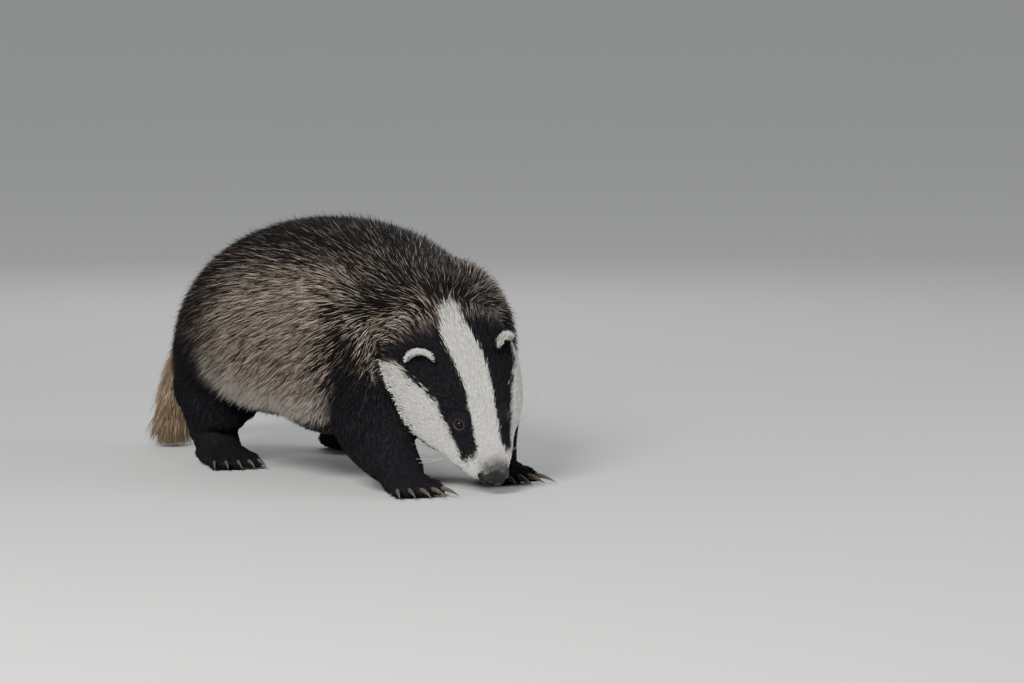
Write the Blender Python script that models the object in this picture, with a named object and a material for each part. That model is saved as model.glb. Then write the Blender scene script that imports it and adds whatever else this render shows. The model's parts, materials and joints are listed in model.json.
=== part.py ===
"""European badger at life size, in mid-step with its nose down at the ground.

Metres, +Z up. The animal faces -Y, its left side is +X, and its soles stand on Z = 0.
Rounded forms are fused into a trunk, a head and four legs, thin cuts part them into
nodes, and the origin ends up under the middle of the whole animal.
"""

import math
import random

import bmesh
import bpy
import numpy as np
from mathutils import Matrix, Vector
from mathutils.bvhtree import BVHTree
from mathutils.kdtree import KDTree

MM = 0.001
GAP = 0.3 * MM
TOUCH = 0.02 * MM
FAR = 1.2

# Trunk, out to the tips of the coat
BACK_HEIGHT = 0.253
WIDEST_HEIGHT = 0.120
BELLY_HEIGHT = 0.056
TRUNK_HALF_WIDTH = 0.140
TRUNK_PEAK_Y = 0.010
TRUNK_FRONT = 0.190
TRUNK_REAR = 0.237

# Shoulder, haunch and rump masses on the trunk: centre (of the left one), radii
SHOULDER = ((0.066, -0.095, 0.130), (0.059, 0.086, 0.086))
HAUNCH = ((0.070, 0.118, 0.112), (0.053, 0.080, 0.082))

# Neck, from between the shoulders to the back of the skull: centre, half width, height
NECK = (
    ((0, -0.050, 0.150), 0.104, 0.092),
    ((0, -0.105, 0.150), 0.097, 0.080),
    ((0.003, -0.144, 0.145), 0.074, 0.059),
)

# Tail, from the rump to its tip
TAIL = (
    ((0.000, 0.195, 0.165), 0.034, 0.030),
    ((-0.010, 0.240, 0.142), 0.027, 0.024),
    ((-0.032, 0.273, 0.102), 0.027, 0.023),
    ((-0.046, 0.286, 0.056), 0.027, 0.020),
    ((-0.047, 0.287, -0.002), 0.024, 0.015),
)

# Head, in its own axes: forward to the nose, left, and up through the crown
HEAD_ORIGIN = Vector((0.0105, -0.205, 0.124))
HEAD_YAW = math.radians(5.6)
HEAD_PITCH = math.radians(50.6)
HEAD_ROLL = math.radians(13.1)
EYE_RADIUS = 5.2 * MM
EYE_PLACE = Vector((74, 25.4, 8)) * MM
EYE_GAZE = Vector((0.50, 0.60, 0.62)).normalized()
EYE_BULGE = 1.5 * MM

# Seams between nodes: a point on each, and its normal
NECK_SEAM = (Vector((0, -0.150, 0.160)), Vector((0, -0.83, 0.56)))
TAIL_SEAM = (Vector((-0.014, 0.252, 0.134)), Vector((-0.20, 0.96, -0.20)))
WRIST_HEIGHT = 0.034

BODY_VOXEL = 5 * MM
HEAD_VOXEL = 2.1 * MM
LEG_VOXEL = 2.2 * MM
BODY_TRIANGLES = 900
HEAD_TRIANGLES = 1500
LEG_TRIANGLES = 420

# Locks of the long coat: how many, their length, width and thickness, and how far
# their tips stand over the core they are rooted in
CORE_INSET = 10 * MM
LOCKS = {
    "front": (24, 0.070, 0.032, 0.0035, CORE_INSET / 2),
    "trunk": (80, 0.094, 0.037, 0.0040, CORE_INSET),
    "tail": (14, 0.050, 0.016, 0.0035, CORE_INSET / 2),
}
FRONT_Y = -0.095
LOCK_HEM = 0.072

COLOURS = {
    "fur_grey": (0.235, 0.215, 0.200),
    "fur_black": (0.022, 0.021, 0.023),
    "fur_white": (0.780, 0.765, 0.720),
    "fur_buff": (0.420, 0.360, 0.290),
    "nose_skin": (0.030, 0.028, 0.030),
    "eye": (0.010, 0.008, 0.007),
}
ROUGHNESS = {"nose_skin": 0.35, "eye": 0.05}


def clear_scene():
    for item in list(bpy.data.objects):
        bpy.data.objects.remove(item)


def paint(node, slot):
    """Gives the node its own plain material."""
    material = bpy.data.materials.get(slot) or bpy.data.materials.new(slot)
    material.use_nodes = True
    shader = material.node_tree.nodes["Principled BSDF"]
    shader.inputs["Base Color"].default_value = (*COLOURS[slot], 1)
    shader.inputs["Roughness"].default_value = ROUGHNESS.get(slot, 0.8)
    node.data.materials.clear()
    node.data.materials.append(material)


def object_from(name, shape):
    """Turns a bmesh into an object whose faces look outward, and frees the bmesh."""
    bmesh.ops.recalc_face_normals(shape, faces=shape.faces)
    if shape.calc_volume(signed=True) < 0:
        bmesh.ops.reverse_faces(shape, faces=shape.faces)
    mesh = bpy.data.meshes.new(name)
    shape.to_mesh(mesh)
    shape.free()
    made = bpy.data.objects.new(name, mesh)
    bpy.context.scene.collection.objects.link(made)
    return made


def copy_of(item, name):
    made = bpy.data.objects.new(name, item.data.copy())
    bpy.context.scene.collection.objects.link(made)
    return made


def discard(*items):
    for item in items:
        bpy.data.objects.remove(item)


def apply_modifiers(item):
    """Replaces the object's mesh by what its modifiers make of it."""
    graph = bpy.context.evaluated_depsgraph_get()
    made = bpy.data.meshes.new_from_object(item.evaluated_get(graph))
    item.modifiers.clear()
    item.data = made


def carve(item, cutter):
    """Cuts the item by the cutter, and discards the cutter."""
    cut = item.modifiers.new("cut", "BOOLEAN")
    cut.operation = "DIFFERENCE"
    cut.solver = "MANIFOLD"
    cut.object = cutter
    apply_modifiers(item)
    discard(cutter)


def fuse(item, pieces):
    """Joins closed pieces to the item in one union, and discards them."""
    group = bpy.data.collections.new("pieces")
    for piece in pieces:
        group.objects.link(piece)
    join = item.modifiers.new("join", "BOOLEAN")
    join.operation = "UNION"
    join.solver = "MANIFOLD"
    join.operand_type = "COLLECTION"
    join.collection = group
    apply_modifiers(item)
    discard(*pieces)
    bpy.data.collections.remove(group)


def draw_apart(shape):
    """Draws in points that lie on one another, so that no two walls touch."""
    tree = KDTree(len(shape.verts))
    for vertex in shape.verts:
        tree.insert(vertex.co, vertex.index)
    tree.balance()
    touching = [v for v in shape.verts if len(tree.find_range(v.co, TOUCH / 4)) > 1]
    for vertex in touching:
        vertex.co -= vertex.normal * TOUCH


def keep_largest(item):
    """Drops every closed surface but the one with the most volume, and spare points."""
    shape = bmesh.new()
    shape.from_mesh(item.data)
    spare = [vertex for vertex in shape.verts if len(vertex.link_edges) == 2]
    bmesh.ops.dissolve_verts(shape, verts=spare)
    waiting = set(shape.faces)
    best_volume, best = 0.0, set()
    while waiting:
        island, edge_of_island = set(), [waiting.pop()]
        while edge_of_island:
            face = edge_of_island.pop()
            island.add(face)
            for edge in face.edges:
                for other in edge.link_faces:
                    if other in waiting:
                        waiting.discard(other)
                        edge_of_island.append(other)
        volume = sum(
            face.calc_area() * face.normal.dot(face.calc_center_median())
            for face in island
        )
        if volume > best_volume:
            best_volume, best = volume, island
    extra = [face for face in shape.faces if face not in best]
    bmesh.ops.delete(shape, geom=extra, context="FACES")
    bmesh.ops.triangulate(shape, faces=shape.faces)
    shape.verts.index_update()
    shape.normal_update()
    draw_apart(shape)
    shape.to_mesh(item.data)
    shape.free()


def remesh(item, voxel, triangles, smoothing):
    """One even skin round the item's overlapping forms, smoothed and made coarse again."""
    even = item.modifiers.new("even", "REMESH")
    even.mode = "VOXEL"
    even.voxel_size = voxel
    smooth = item.modifiers.new("smooth", "SMOOTH")
    smooth.factor = 0.5
    smooth.iterations = smoothing
    apply_modifiers(item)
    coarse = item.modifiers.new("coarse", "DECIMATE")
    coarse.ratio = triangles / (2 * len(item.data.polygons))
    coarse.use_collapse_triangulate = True
    apply_modifiers(item)


def grown(item, distance=GAP):
    """A copy of the item, swollen by the gap that neighbours keep."""
    made = copy_of(item, "grown")
    swell = made.modifiers.new("swell", "DISPLACE")
    swell.mid_level = 0
    swell.strength = distance
    apply_modifiers(made)
    return made


def joined(name, pieces):
    """One object holding the meshes of all the pieces, still overlapping."""
    shape = bmesh.new()
    for piece in pieces:
        shape.from_mesh(piece.data)
    discard(*pieces)
    return object_from(name, shape)


def block_beyond(seam, shift):
    """A large block on the far side of a seam, its face moved by shift along the normal."""
    point, normal = seam
    normal = normal.normalized()
    shape = bmesh.new()
    bmesh.ops.create_cube(shape, size=FAR)
    turn = normal.to_track_quat("Z", "Y").to_matrix().to_4x4()
    place = Matrix.Translation(point + normal * (shift + FAR / 2)) @ turn
    bmesh.ops.transform(shape, matrix=place, verts=shape.verts)
    return object_from("block", shape)


def part_at(item, seam, name):
    """Parts the item at a seam: it keeps the near side, and the far side is returned."""
    point, normal = seam
    far_side = copy_of(item, name)
    carve(item, block_beyond(seam, -GAP / 2))
    carve(far_side, block_beyond((point, -normal), -GAP / 2))
    keep_largest(item)
    keep_largest(far_side)
    return far_side


def head_matrix():
    """Head axes (forward, left, up) to the model's frame."""
    forward = Vector((math.sin(HEAD_YAW), -math.cos(HEAD_YAW), 0))
    left = Vector((math.cos(HEAD_YAW), math.sin(HEAD_YAW), 0))
    up = Vector((0, 0, 1))
    dip, lift = math.sin(HEAD_PITCH), math.cos(HEAD_PITCH)
    forward, up = forward * lift - up * dip, up * lift + forward * dip
    lean, stay = math.sin(HEAD_ROLL), math.cos(HEAD_ROLL)
    left, up = left * stay + up * lean, up * stay - left * lean
    turn = Matrix((forward, left, up)).transposed()
    return Matrix.Translation(HEAD_ORIGIN) @ turn.to_4x4()


HEAD = head_matrix()
WORLD = Matrix.Identity(4)


def ellipsoid(centre, radii, turn=(0, 0, 0), frame=WORLD, segments=32):
    """A sphere drawn out to three radii, turned in degrees about X, Y and Z of its frame."""
    shape = bmesh.new()
    bmesh.ops.create_uvsphere(
        shape, u_segments=segments, v_segments=segments // 2, radius=1
    )
    roll, pitch, yaw = (math.radians(degrees) for degrees in turn)
    spin = Matrix.Rotation(yaw, 3, "Z") @ Matrix.Rotation(pitch, 3, "Y")
    spin = spin @ Matrix.Rotation(roll, 3, "X")
    place = Matrix.LocRotScale(Vector(centre), spin, Vector(radii))
    bmesh.ops.transform(shape, matrix=frame @ place, verts=shape.verts)
    return object_from("ellipsoid", shape)


def loft(name, rings):
    """One closed skin through rings of points, with a cap at each end."""
    shape = bmesh.new()
    loops = [[shape.verts.new(point) for point in ring] for ring in rings]
    for near, far in zip(loops, loops[1:]):
        for i, corner in enumerate(near):
            following = (i + 1) % len(near)
            shape.faces.new((corner, near[following], far[following], far[i]))
    shape.faces.new(loops[0])
    shape.faces.new(loops[-1])
    return object_from(name, shape)


def spline_weights(t):
    """Catmull-Rom weights of four neighbours, at share t from the second to the third."""
    return (
        -0.5 * t + t * t - 0.5 * t**3,
        1 - 2.5 * t * t + 1.5 * t**3,
        0.5 * t + 2 * t * t - 1.5 * t**3,
        -0.5 * t * t + 0.5 * t**3,
    )


def blend_of_four(around, t):
    """One station between the second and the third of four."""
    centre = Vector((0, 0, 0))
    width = height = 0.0
    for weight, (point, half_width, half_height) in zip(spline_weights(t), around):
        centre += weight * Vector(point)
        width += weight * half_width
        height += weight * half_height
    return centre, width, height


def smoothed(stations, steps=5):
    """Stations of (centre, half width, half height), made denser along a smooth curve."""
    dense = []
    last = len(stations) - 1
    for i in range(last):
        around = [stations[max(0, min(last, i + k))] for k in (-1, 0, 1, 2)]
        dense += [blend_of_four(around, step / steps) for step in range(steps)]
    point, half_width, half_height = stations[last]
    dense.append((Vector(point), half_width, half_height))
    return dense


def limb(stations, frame=WORLD, sides=20, inset=0.0):
    """A tube through smoothed stations, rounded at both ends."""
    dense = smoothed(stations)
    last = len(dense) - 1
    rings = []

    def ring(centre, side, across, half_width, half_height, shrink):
        points = []
        for k in range(sides):
            angle = math.tau * k / sides
            offset = side * (half_width - inset) * math.cos(angle)
            offset += across * (half_height - inset) * math.sin(angle)
            points.append(frame @ (centre + offset * shrink))
        return points

    def dome(centre, outward, side, across, half_width, half_height):
        """Shrinking rings that close an end as a half sphere would."""
        reach = min(half_width, half_height) - inset
        made = []
        for degrees in (25, 50, 70, 84):
            turn = math.radians(degrees)
            moved = centre + outward * reach * math.sin(turn)
            made.append(
                ring(moved, side, across, half_width, half_height, math.cos(turn))
            )
        return made

    side = Vector((1, 0, 0)) if frame == WORLD else Vector((0, 1, 0))
    for i, (centre, half_width, half_height) in enumerate(dense):
        ahead, behind = dense[min(i + 1, last)][0], dense[max(i - 1, 0)][0]
        along = (ahead - behind).normalized()
        side = (side - along * side.dot(along)).normalized()
        across = side.cross(along)
        if i == 0:
            start = dome(centre, -along, side, across, half_width, half_height)
            rings += start[::-1]
        rings.append(ring(centre, side, across, half_width, half_height, 1))
        if i == last:
            rings += dome(centre, along, side, across, half_width, half_height)
    return loft("limb", rings)


def arch(u, power):
    """Height of a rounded arch at share u of its half length."""
    return (1 - min(1.0, abs(u)) ** power) ** 0.5


def trunk_form(inset):
    """The barrel of the body: round over the back, fuller low on the flanks."""
    sides, count = 36, 30
    rings = []
    for i in range(count):
        turn = math.radians(-88 + 176 * i / (count - 1))
        length = (TRUNK_REAR if turn > 0 else TRUNK_FRONT) - inset
        share = math.sin(turn)
        y = TRUNK_PEAK_Y + length * share
        fullness = 2.15 if turn > 0 else 2.6
        half_width = (TRUNK_HALF_WIDTH - inset) * arch(share, fullness)
        rise = (BACK_HEIGHT - WIDEST_HEIGHT - inset) * arch(share, fullness - 0.1)
        drop = (WIDEST_HEIGHT - BELLY_HEIGHT) * arch(share, 3)
        ring = []
        for k in range(sides):
            angle = math.tau * k / sides
            cosine, sine = math.cos(angle), math.sin(angle)
            square = 1.0 if sine > 0 else 0.8
            x = half_width * math.copysign(abs(cosine) ** square, cosine)
            reach = rise if sine > 0 else drop
            z = WIDEST_HEIGHT + reach * math.copysign(abs(sine) ** square, sine)
            ring.append(Vector((x, y, z)))
        rings.append(ring)
    return loft("trunk", rings)


def on_side(point, side):
    """A point of the left side, or its mirror image on the right."""
    return Vector((side * point[0], point[1], point[2]))


TAIL_CLEARANCE = 1.5 * MM


def body_form(inset):
    """Trunk, shoulders, haunches, neck and tail, set in from the tips of the coat."""
    pieces = [trunk_form(inset)]
    pieces += [limb(stations, inset=inset / 2) for stations in (NECK, TAIL)]
    for (centre, radii), depth in ((SHOULDER, inset / 2), (HAUNCH, inset)):
        for side in (-1, 1):
            kept = [radius - depth for radius in radii]
            pieces.append(ellipsoid(on_side(centre, side), kept))
    body = joined("torso", pieces)
    remesh(body, BODY_VOXEL, BODY_TRIANGLES, 14)
    return body


def evenly_spread(places, count):
    """Numbers of the places that lie furthest from one another."""
    chosen = [0]
    nearest = np.linalg.norm(places - places[0], axis=1)
    while len(chosen) < count:
        following = int(nearest.argmax())
        chosen.append(following)
        distance = np.linalg.norm(places - places[following], axis=1)
        nearest = np.minimum(nearest, distance)
    return chosen


def region_of(spot):
    """Which set of locks grows there, or None where the coat is short or the head sits."""
    seam, beyond = TAIL_SEAM
    if (spot - seam).dot(beyond) > 0:
        return "tail"
    from_head = HEAD.inverted() @ spot
    if spot.z < LOCK_HEM or (from_head.x > -0.04 and abs(from_head.y) < 0.06):
        return None
    return "front" if spot.y < FRONT_Y else "trunk"


def coat_run(spot, normal, region):
    """The way the coat lies there: back along the body, and down over its sides."""
    if region == "tail":
        run = Vector((-0.15, 0.20, -1))
    else:
        height = (spot.z - WIDEST_HEIGHT) / (BACK_HEIGHT - WIDEST_HEIGHT)
        run = Vector((0.35 * spot.x / TRUNK_HALF_WIDTH, 0.9, -0.8 + 0.4 * height))
    return (run - normal * run.dot(normal)).normalized()


# Share of the length, of the width, of the thickness, and of the rise to the tip
LOCK_PROFILE = (
    (0.00, 0.60, 1.0, -0.4),
    (0.30, 1.00, 1.0, 0.25),
    (0.68, 0.72, 0.8, 0.68),
)


def lock(tree, root, region, chance):
    """A flat, tapered lock that leaves the core and lies along the coat's run."""
    _, length, width, thickness, rise = LOCKS[region]
    length *= chance.uniform(0.85, 1.15)
    sway = chance.uniform(-0.22, 0.22)
    shape = bmesh.new()
    spot, gone, loops = root, 0.0, []
    for share, wide, thick, height in (*LOCK_PROFILE, (1, 0, 0, 1)):
        spot, normal, *_ = tree.find_nearest(spot)
        run = coat_run(spot, normal, region)
        run = (run + normal.cross(run) * sway).normalized()
        across = normal.cross(run)
        spot += run * length * (share - gone)
        gone = share
        surface, normal, *_ = tree.find_nearest(spot)
        centre = surface + normal * rise * height
        if wide:
            reach, lift = across * width * wide / 2, normal * thickness * thick / 2
            corners = (centre + reach, centre + lift, centre - reach, centre - lift)
            loops.append([shape.verts.new(corner) for corner in corners])
    tip = shape.verts.new(centre)
    for near, far in zip(loops, loops[1:]):
        for k in range(4):
            ahead = (k + 1) % 4
            shape.faces.new((near[k], near[ahead], far[ahead], far[k]))
    for k in range(4):
        shape.faces.new((loops[-1][k], loops[-1][(k + 1) % 4], tip))
    shape.faces.new(loops[0])
    bmesh.ops.triangulate(shape, faces=shape.faces)
    return object_from("lock", shape)


def add_locks(body):
    """Covers back, flanks, neck and tail in locks, and fuses them to the core."""
    tree = surface_tree(body)
    chance = random.Random(11)
    locks = []
    for region, sizes in LOCKS.items():
        spots = [v.co for v in body.data.vertices if region_of(v.co) == region]
        for number in evenly_spread(np.array(spots), sizes[0]):
            locks.append(lock(tree, spots[number], region, chance))
    fuse(body, locks)


# Each leg from the top: outward, along, height, half width, half depth
LEG_JOINTS = {
    "front_leg_right": (
        (0.050, -0.140, 0.118, 0.034, 0.038),
        (0.058, -0.156, 0.094, 0.036, 0.040),
        (0.064, -0.176, 0.064, 0.036, 0.038),
        (0.058, -0.201, 0.038, 0.030, 0.031),
        (0.051, -0.217, 0.022, 0.025, 0.019),
    ),
    "front_leg_left": (
        (0.066, -0.112, 0.122, 0.036, 0.040),
        (0.080, -0.116, 0.094, 0.039, 0.043),
        (0.086, -0.128, 0.064, 0.036, 0.038),
        (0.082, -0.146, 0.038, 0.030, 0.030),
        (0.079, -0.162, 0.022, 0.025, 0.019),
    ),
    "hind_leg_right": (
        (0.062, 0.112, 0.110, 0.034, 0.046),
        (0.084, 0.112, 0.088, 0.038, 0.056),
        (0.092, 0.104, 0.060, 0.034, 0.043),
        (0.092, 0.106, 0.034, 0.025, 0.030),
        (0.091, 0.092, 0.019, 0.023, 0.017),
    ),
    "hind_leg_left": (
        (0.062, 0.124, 0.110, 0.034, 0.046),
        (0.084, 0.140, 0.088, 0.038, 0.054),
        (0.092, 0.158, 0.060, 0.034, 0.043),
        (0.092, 0.178, 0.034, 0.025, 0.030),
        (0.091, 0.168, 0.019, 0.023, 0.017),
    ),
}

# Each paw: reach of its pad behind and before the wrist, claw length, turn outward
PAWS = {
    "front_leg_right": (0.008, 0.024, 0.026, 4),
    "front_leg_left": (0.008, 0.024, 0.026, 4),
    "hind_leg_right": (0.026, 0.026, 0.014, 6),
    "hind_leg_left": (0.026, 0.026, 0.014, 6),
}
TOES = 5
TOE_FAN = 9
TOE_RADIUS = 6.6 * MM
TOE_LENGTH = 0.017
PALM_HALF_WIDTH = 0.023
CLAW_RADIUS = 2.4 * MM


def paw_frame(name):
    """The paw's own axes: forward, outward-to-left and up, from under the wrist."""
    side = -1 if name.endswith("right") else 1
    outward, along, *_ = LEG_JOINTS[name][-1]
    turn = math.radians(-90 + side * PAWS[name][3])
    spot = Vector((side * outward, along, 0))
    return Matrix.Translation(spot) @ Matrix.Rotation(turn, 4, "Z")


def toe_angles():
    return [(k - (TOES - 1) / 2) * TOE_FAN for k in range(TOES)]


def toe_tip(ball, degrees):
    """Where a toe ends, in the paw's axes: the middle toes reach furthest."""
    turn = math.radians(degrees)
    reach = TOE_LENGTH * (1 - 0.16 * (degrees / TOE_FAN) ** 2 / 4)
    root = Vector((ball, math.sin(turn) * PALM_HALF_WIDTH * 2.6, 0))
    return root + Vector((math.cos(turn), math.sin(turn), 0)) * reach


def leg_form(name):
    """A leg with its palm and toes, as one skin cut flat under the sole."""
    side = -1 if name.endswith("right") else 1
    heel, ball, _, _ = PAWS[name]
    frame = paw_frame(name)
    joints = [
        (on_side(joint[:3], side), joint[3], joint[4]) for joint in LEG_JOINTS[name]
    ]
    pieces = [limb(joints)]
    palm = (
        ((-heel, 0, 0.011), 0.019, 0.0125),
        ((ball / 2, 0, 0.012), PALM_HALF_WIDTH, 0.0135),
        ((ball, 0, 0.010), PALM_HALF_WIDTH, 0.0115),
    )
    pieces.append(limb(palm, frame))
    for degrees in toe_angles():
        tip = toe_tip(ball, degrees)
        root = Vector((ball - 0.008, tip.y * 0.82, 0.009))
        toe = (
            (root, TOE_RADIUS, TOE_RADIUS),
            ((root + tip) / 2 + Vector((0, 0, 0.0065)), TOE_RADIUS, TOE_RADIUS),
            (tip + Vector((0, 0, 0.0062)), TOE_RADIUS * 0.92, TOE_RADIUS * 0.9),
        )
        pieces.append(limb(toe, frame, sides=14))
    leg = joined(name, pieces)
    remesh(leg, LEG_VOXEL, LEG_TRIANGLES, 4)
    floor = (Vector((0, 0, 0)), Vector((0, 0, -1)))
    carve(leg, block_beyond(floor, 0))
    keep_largest(leg)
    return leg


def claw(frame, base, degrees, length):
    """A curved, tapering claw that points forward and down, clear of the floor."""
    turn = math.radians(degrees)
    ahead = Vector((math.cos(turn), math.sin(turn), 0))
    rings = []
    for share, radius, height in (
        (-0.25, 1.0, 0.0),
        (0.2, 1.0, 0.9),
        (0.65, 0.62, -1.0),
        (1.0, 0.12, -4.4),
    ):
        centre = base + ahead * length * share + Vector((0, 0, height * MM))
        side = Vector((-ahead.y, ahead.x, 0))
        ring = []
        for k in range(5):
            angle = math.tau * k / 5
            offset = side * math.cos(angle) * CLAW_RADIUS * 0.72 * radius
            offset += Vector((0, 0, math.sin(angle) * CLAW_RADIUS * radius))
            ring.append(frame @ (centre + offset))
        rings.append(ring)
    return loft("claw", rings)


def add_claws(paw, name):
    _, ball, length, _ = PAWS[name]
    frame = paw_frame(name)
    claws = []
    for degrees in toe_angles():
        base = toe_tip(ball, degrees) + Vector((0.001, 0, 0.0075))
        claws.append(claw(frame, base, degrees, length))
    fuse(paw, claws)
    keep_largest(paw)


# Sections of the head in millimetres: forward, half width, widest level, top, bottom
HEAD_SECTIONS = (
    (-52, 42, -4, 26, -34),
    (-30, 62, -8, 34, -46),
    (0, 69, -13, 35, -54),
    (25, 67, -17, 32, -56),
    (50, 60, -20, 22, -52),
    (66, 51, -22, 14, -47),
    (80, 40, -23, 6, -43),
    (96, 31.5, -22, 0, -39),
    (106, 25.5, -21, -5, -37),
    (114, 20, -21, -10, -34),
)
BROW = ((66, 19, 0), (20, 12, 12))


def in_metres(stations):
    return [(Vector(point) * MM, wide * MM, high * MM) for point, wide, high in stations]


def head_form():
    """Skull, cheeks, brows and muzzle as one skin: narrow on top, broad at the jaws."""
    sides = 40
    rings = []
    last = len(HEAD_SECTIONS) - 1
    for i, (forward, wide, level, top, bottom) in enumerate(HEAD_SECTIONS):
        ring = []
        for k in range(sides):
            angle = math.tau * k / sides
            high = top - level if math.sin(angle) > 0 else level - bottom
            spot = (forward, wide * math.cos(angle), level + high * math.sin(angle))
            ring.append(Vector(spot))
        rings.append(ring)
    pieces = [loft("sections", smoothed_rings(rings))]
    for ring, outward in ((rings[0], -14), (rings[last], 5)):
        middle = sum(ring, Vector()) / sides
        wide = max(abs(point.y) for point in ring)
        high = max(abs(point.z - middle.z) for point in ring)
        pieces.append(ellipsoid(middle, (abs(outward), wide, high)))
    for side in (-1, 1):
        centre, radii = BROW
        pieces.append(ellipsoid(on_side_of_head(centre, side), radii))
    head = joined("head", pieces)
    head.data.transform(HEAD @ Matrix.Scale(MM, 4))
    remesh(head, HEAD_VOXEL, HEAD_TRIANGLES, 5)
    return head


def on_side_of_head(point, side):
    return Vector((point[0], side * point[1], point[2]))


def smoothed_rings(rings, steps=4):
    """The rings, with more of them between along smooth curves."""
    dense = []
    last = len(rings) - 1
    for i in range(last):
        around = [rings[max(0, min(last, i + k))] for k in (-1, 0, 1, 2)]
        for step in range(steps):
            weights = spline_weights(step / steps)
            dense.append(
                [
                    sum((w * point for w, point in zip(weights, four)), Vector())
                    for four in zip(*around)
                ]
            )
    dense.append(rings[last])
    return dense


def surface_tree(item):
    shape = bmesh.new()
    shape.from_mesh(item.data)
    tree = BVHTree.FromBMesh(shape)
    shape.free()
    return tree


def head_point(place, side):
    """A place on the left of the head, or its mirror image, in the model's frame."""
    return HEAD @ Vector((place[0], side * place[1], place[2]))


def head_direction(direction, side):
    return HEAD.to_3x3() @ Vector((direction[0], side * direction[1], direction[2]))


def eye_centre(tree, side):
    """Sets an eye in the head so that it stands out by its bulge alone."""
    gaze = head_direction(EYE_GAZE, side)
    start = head_point(EYE_PLACE, side) + gaze * 0.03
    surface, *_ = tree.ray_cast(start, -gaze)
    return surface - gaze * (EYE_RADIUS - EYE_BULGE), gaze


def lid_ring(centre, gaze, side):
    """Upper and lower lids as one almond-shaped rim, drawn to a corner at each end."""
    along = head_direction((0.80, -0.55, -0.25), side)
    along = (along - gaze * along.dot(gaze)).normalized()
    across = gaze.cross(along)
    shape = bmesh.new()
    loops = []
    for i in range(18):
        angle = math.tau * i / 18
        wide, high = 7.4 * MM * math.cos(angle), 5.0 * MM * math.sin(angle)
        radial = (along * wide + across * high).normalized()
        middle = centre + along * wide + across * high
        lift = EYE_RADIUS * 0.62 - 1.2 * MM * math.cos(angle) ** 2
        middle += gaze * lift
        ring = []
        for k in range(6):
            turn = math.tau * k / 6
            offset = radial * math.cos(turn) * 1.7 * MM + gaze * math.sin(turn) * 1.5 * MM
            ring.append(shape.verts.new(middle + offset))
        loops.append(ring)
    for i, ring in enumerate(loops):
        following = loops[(i + 1) % len(loops)]
        for k in range(6):
            ahead = (k + 1) % 6
            shape.faces.new((ring[k], ring[ahead], following[ahead], following[k]))
    return object_from("lid", shape)


def mouth_groove():
    """A thin curved slot along the lips, open outward and closed by a core inside."""
    rings = []
    for forward, up in ((66, -30), (76, -33.5), (92, -34.5), (108, -33), (130, -31)):
        ring = []
        for wide, high in ((-60, -0.7), (60, -0.7), (60, 0.7), (-60, 0.7)):
            ring.append(HEAD @ (Vector((forward, wide, up + high)) * MM))
        rings.append(ring)
    slot = loft("slot", rings)
    core = (
        ((50, 0, -24), 46, 24),
        ((66, 0, -25), 43, 20),
        ((80, 0, -26), 36, 16),
        ((96, 0, -26), 26, 14),
        ((106, 0, -26), 17, 10),
    )
    carve(slot, limb(in_metres(core), HEAD))
    return slot


def ear(tree, side):
    """A small round cup that stands up from the side of the head."""
    tilt = (-side * 28, -8, side * 36)
    place = Vector((8, side * 43, 23)) * MM
    shell = ellipsoid(place, Vector((8.5, 16.5, 16.5)) * MM, tilt, HEAD, 18)
    hollow_place = place + Vector((6, side * 4.5, 3)) * MM
    hollow = ellipsoid(hollow_place, Vector((8.5, 12.5, 12.5)) * MM, tilt, HEAD, 14)
    carve(shell, hollow)
    return shell


def nose_pad():
    """The bare pad at the tip of the muzzle, with its two nostrils."""
    pad = ellipsoid(
        Vector((118.5, 0, -18)) * MM,
        Vector((12.5, 16, 10.8)) * MM,
        (0, 18, 0),
        HEAD,
        18,
    )
    for side in (-1, 1):
        nostril = ellipsoid(
            Vector((128.5, side * 7.2, -19.5)) * MM,
            Vector((5, 2.8, 2.3)) * MM,
            (side * 24, 0, side * 22),
            HEAD,
            10,
        )
        carve(pad, nostril)
    return pad


def build_head():
    """Head, eyes, ears and nose pad. Returns the head's plain form, to clear it by."""
    head = head_form()
    plain = copy_of(head, "plain_head")
    tree = surface_tree(head)
    lids, sockets = [], []
    for side, label in ((1, "left"), (-1, "right")):
        centre, gaze = eye_centre(tree, side)
        eye = ellipsoid(centre, [EYE_RADIUS] * 3, segments=12)
        eye.name = f"eye_{label}"
        paint(eye, "eye")
        lids.append(lid_ring(centre, gaze, side))
        sockets.append(ellipsoid(centre, [EYE_RADIUS + GAP] * 3, segments=12))
    fuse(head, lids)
    for socket in sockets:
        carve(head, socket)
    carve(head, mouth_groove())
    pad = nose_pad()
    carve(pad, grown(plain))
    keep_largest(pad)
    pad.name = "nose_pad"
    paint(pad, "nose_skin")
    for side, label in ((1, "left"), (-1, "right")):
        cup = ear(tree, side)
        carve(cup, grown(plain))
        keep_largest(cup)
        cup.name = f"ear_{label}"
        paint(cup, "fur_black")
    keep_largest(head)
    paint(head, "fur_white")
    return plain


def build_legs(head_plain):
    """Four legs, each parted at the wrist or ankle. Returns their whole forms."""
    wholes = []
    seam = (Vector((0, 0, WRIST_HEIGHT)), Vector((0, 0, -1)))
    for name in LEG_JOINTS:
        leg = leg_form(name)
        wholes.append(grown(leg))
        carve(leg, grown(head_plain))
        paw = part_at(leg, seam, name.replace("_leg_", "_paw_"))
        add_claws(paw, name)
        for node in (leg, paw):
            paint(node, "fur_black")
    return wholes


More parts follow.
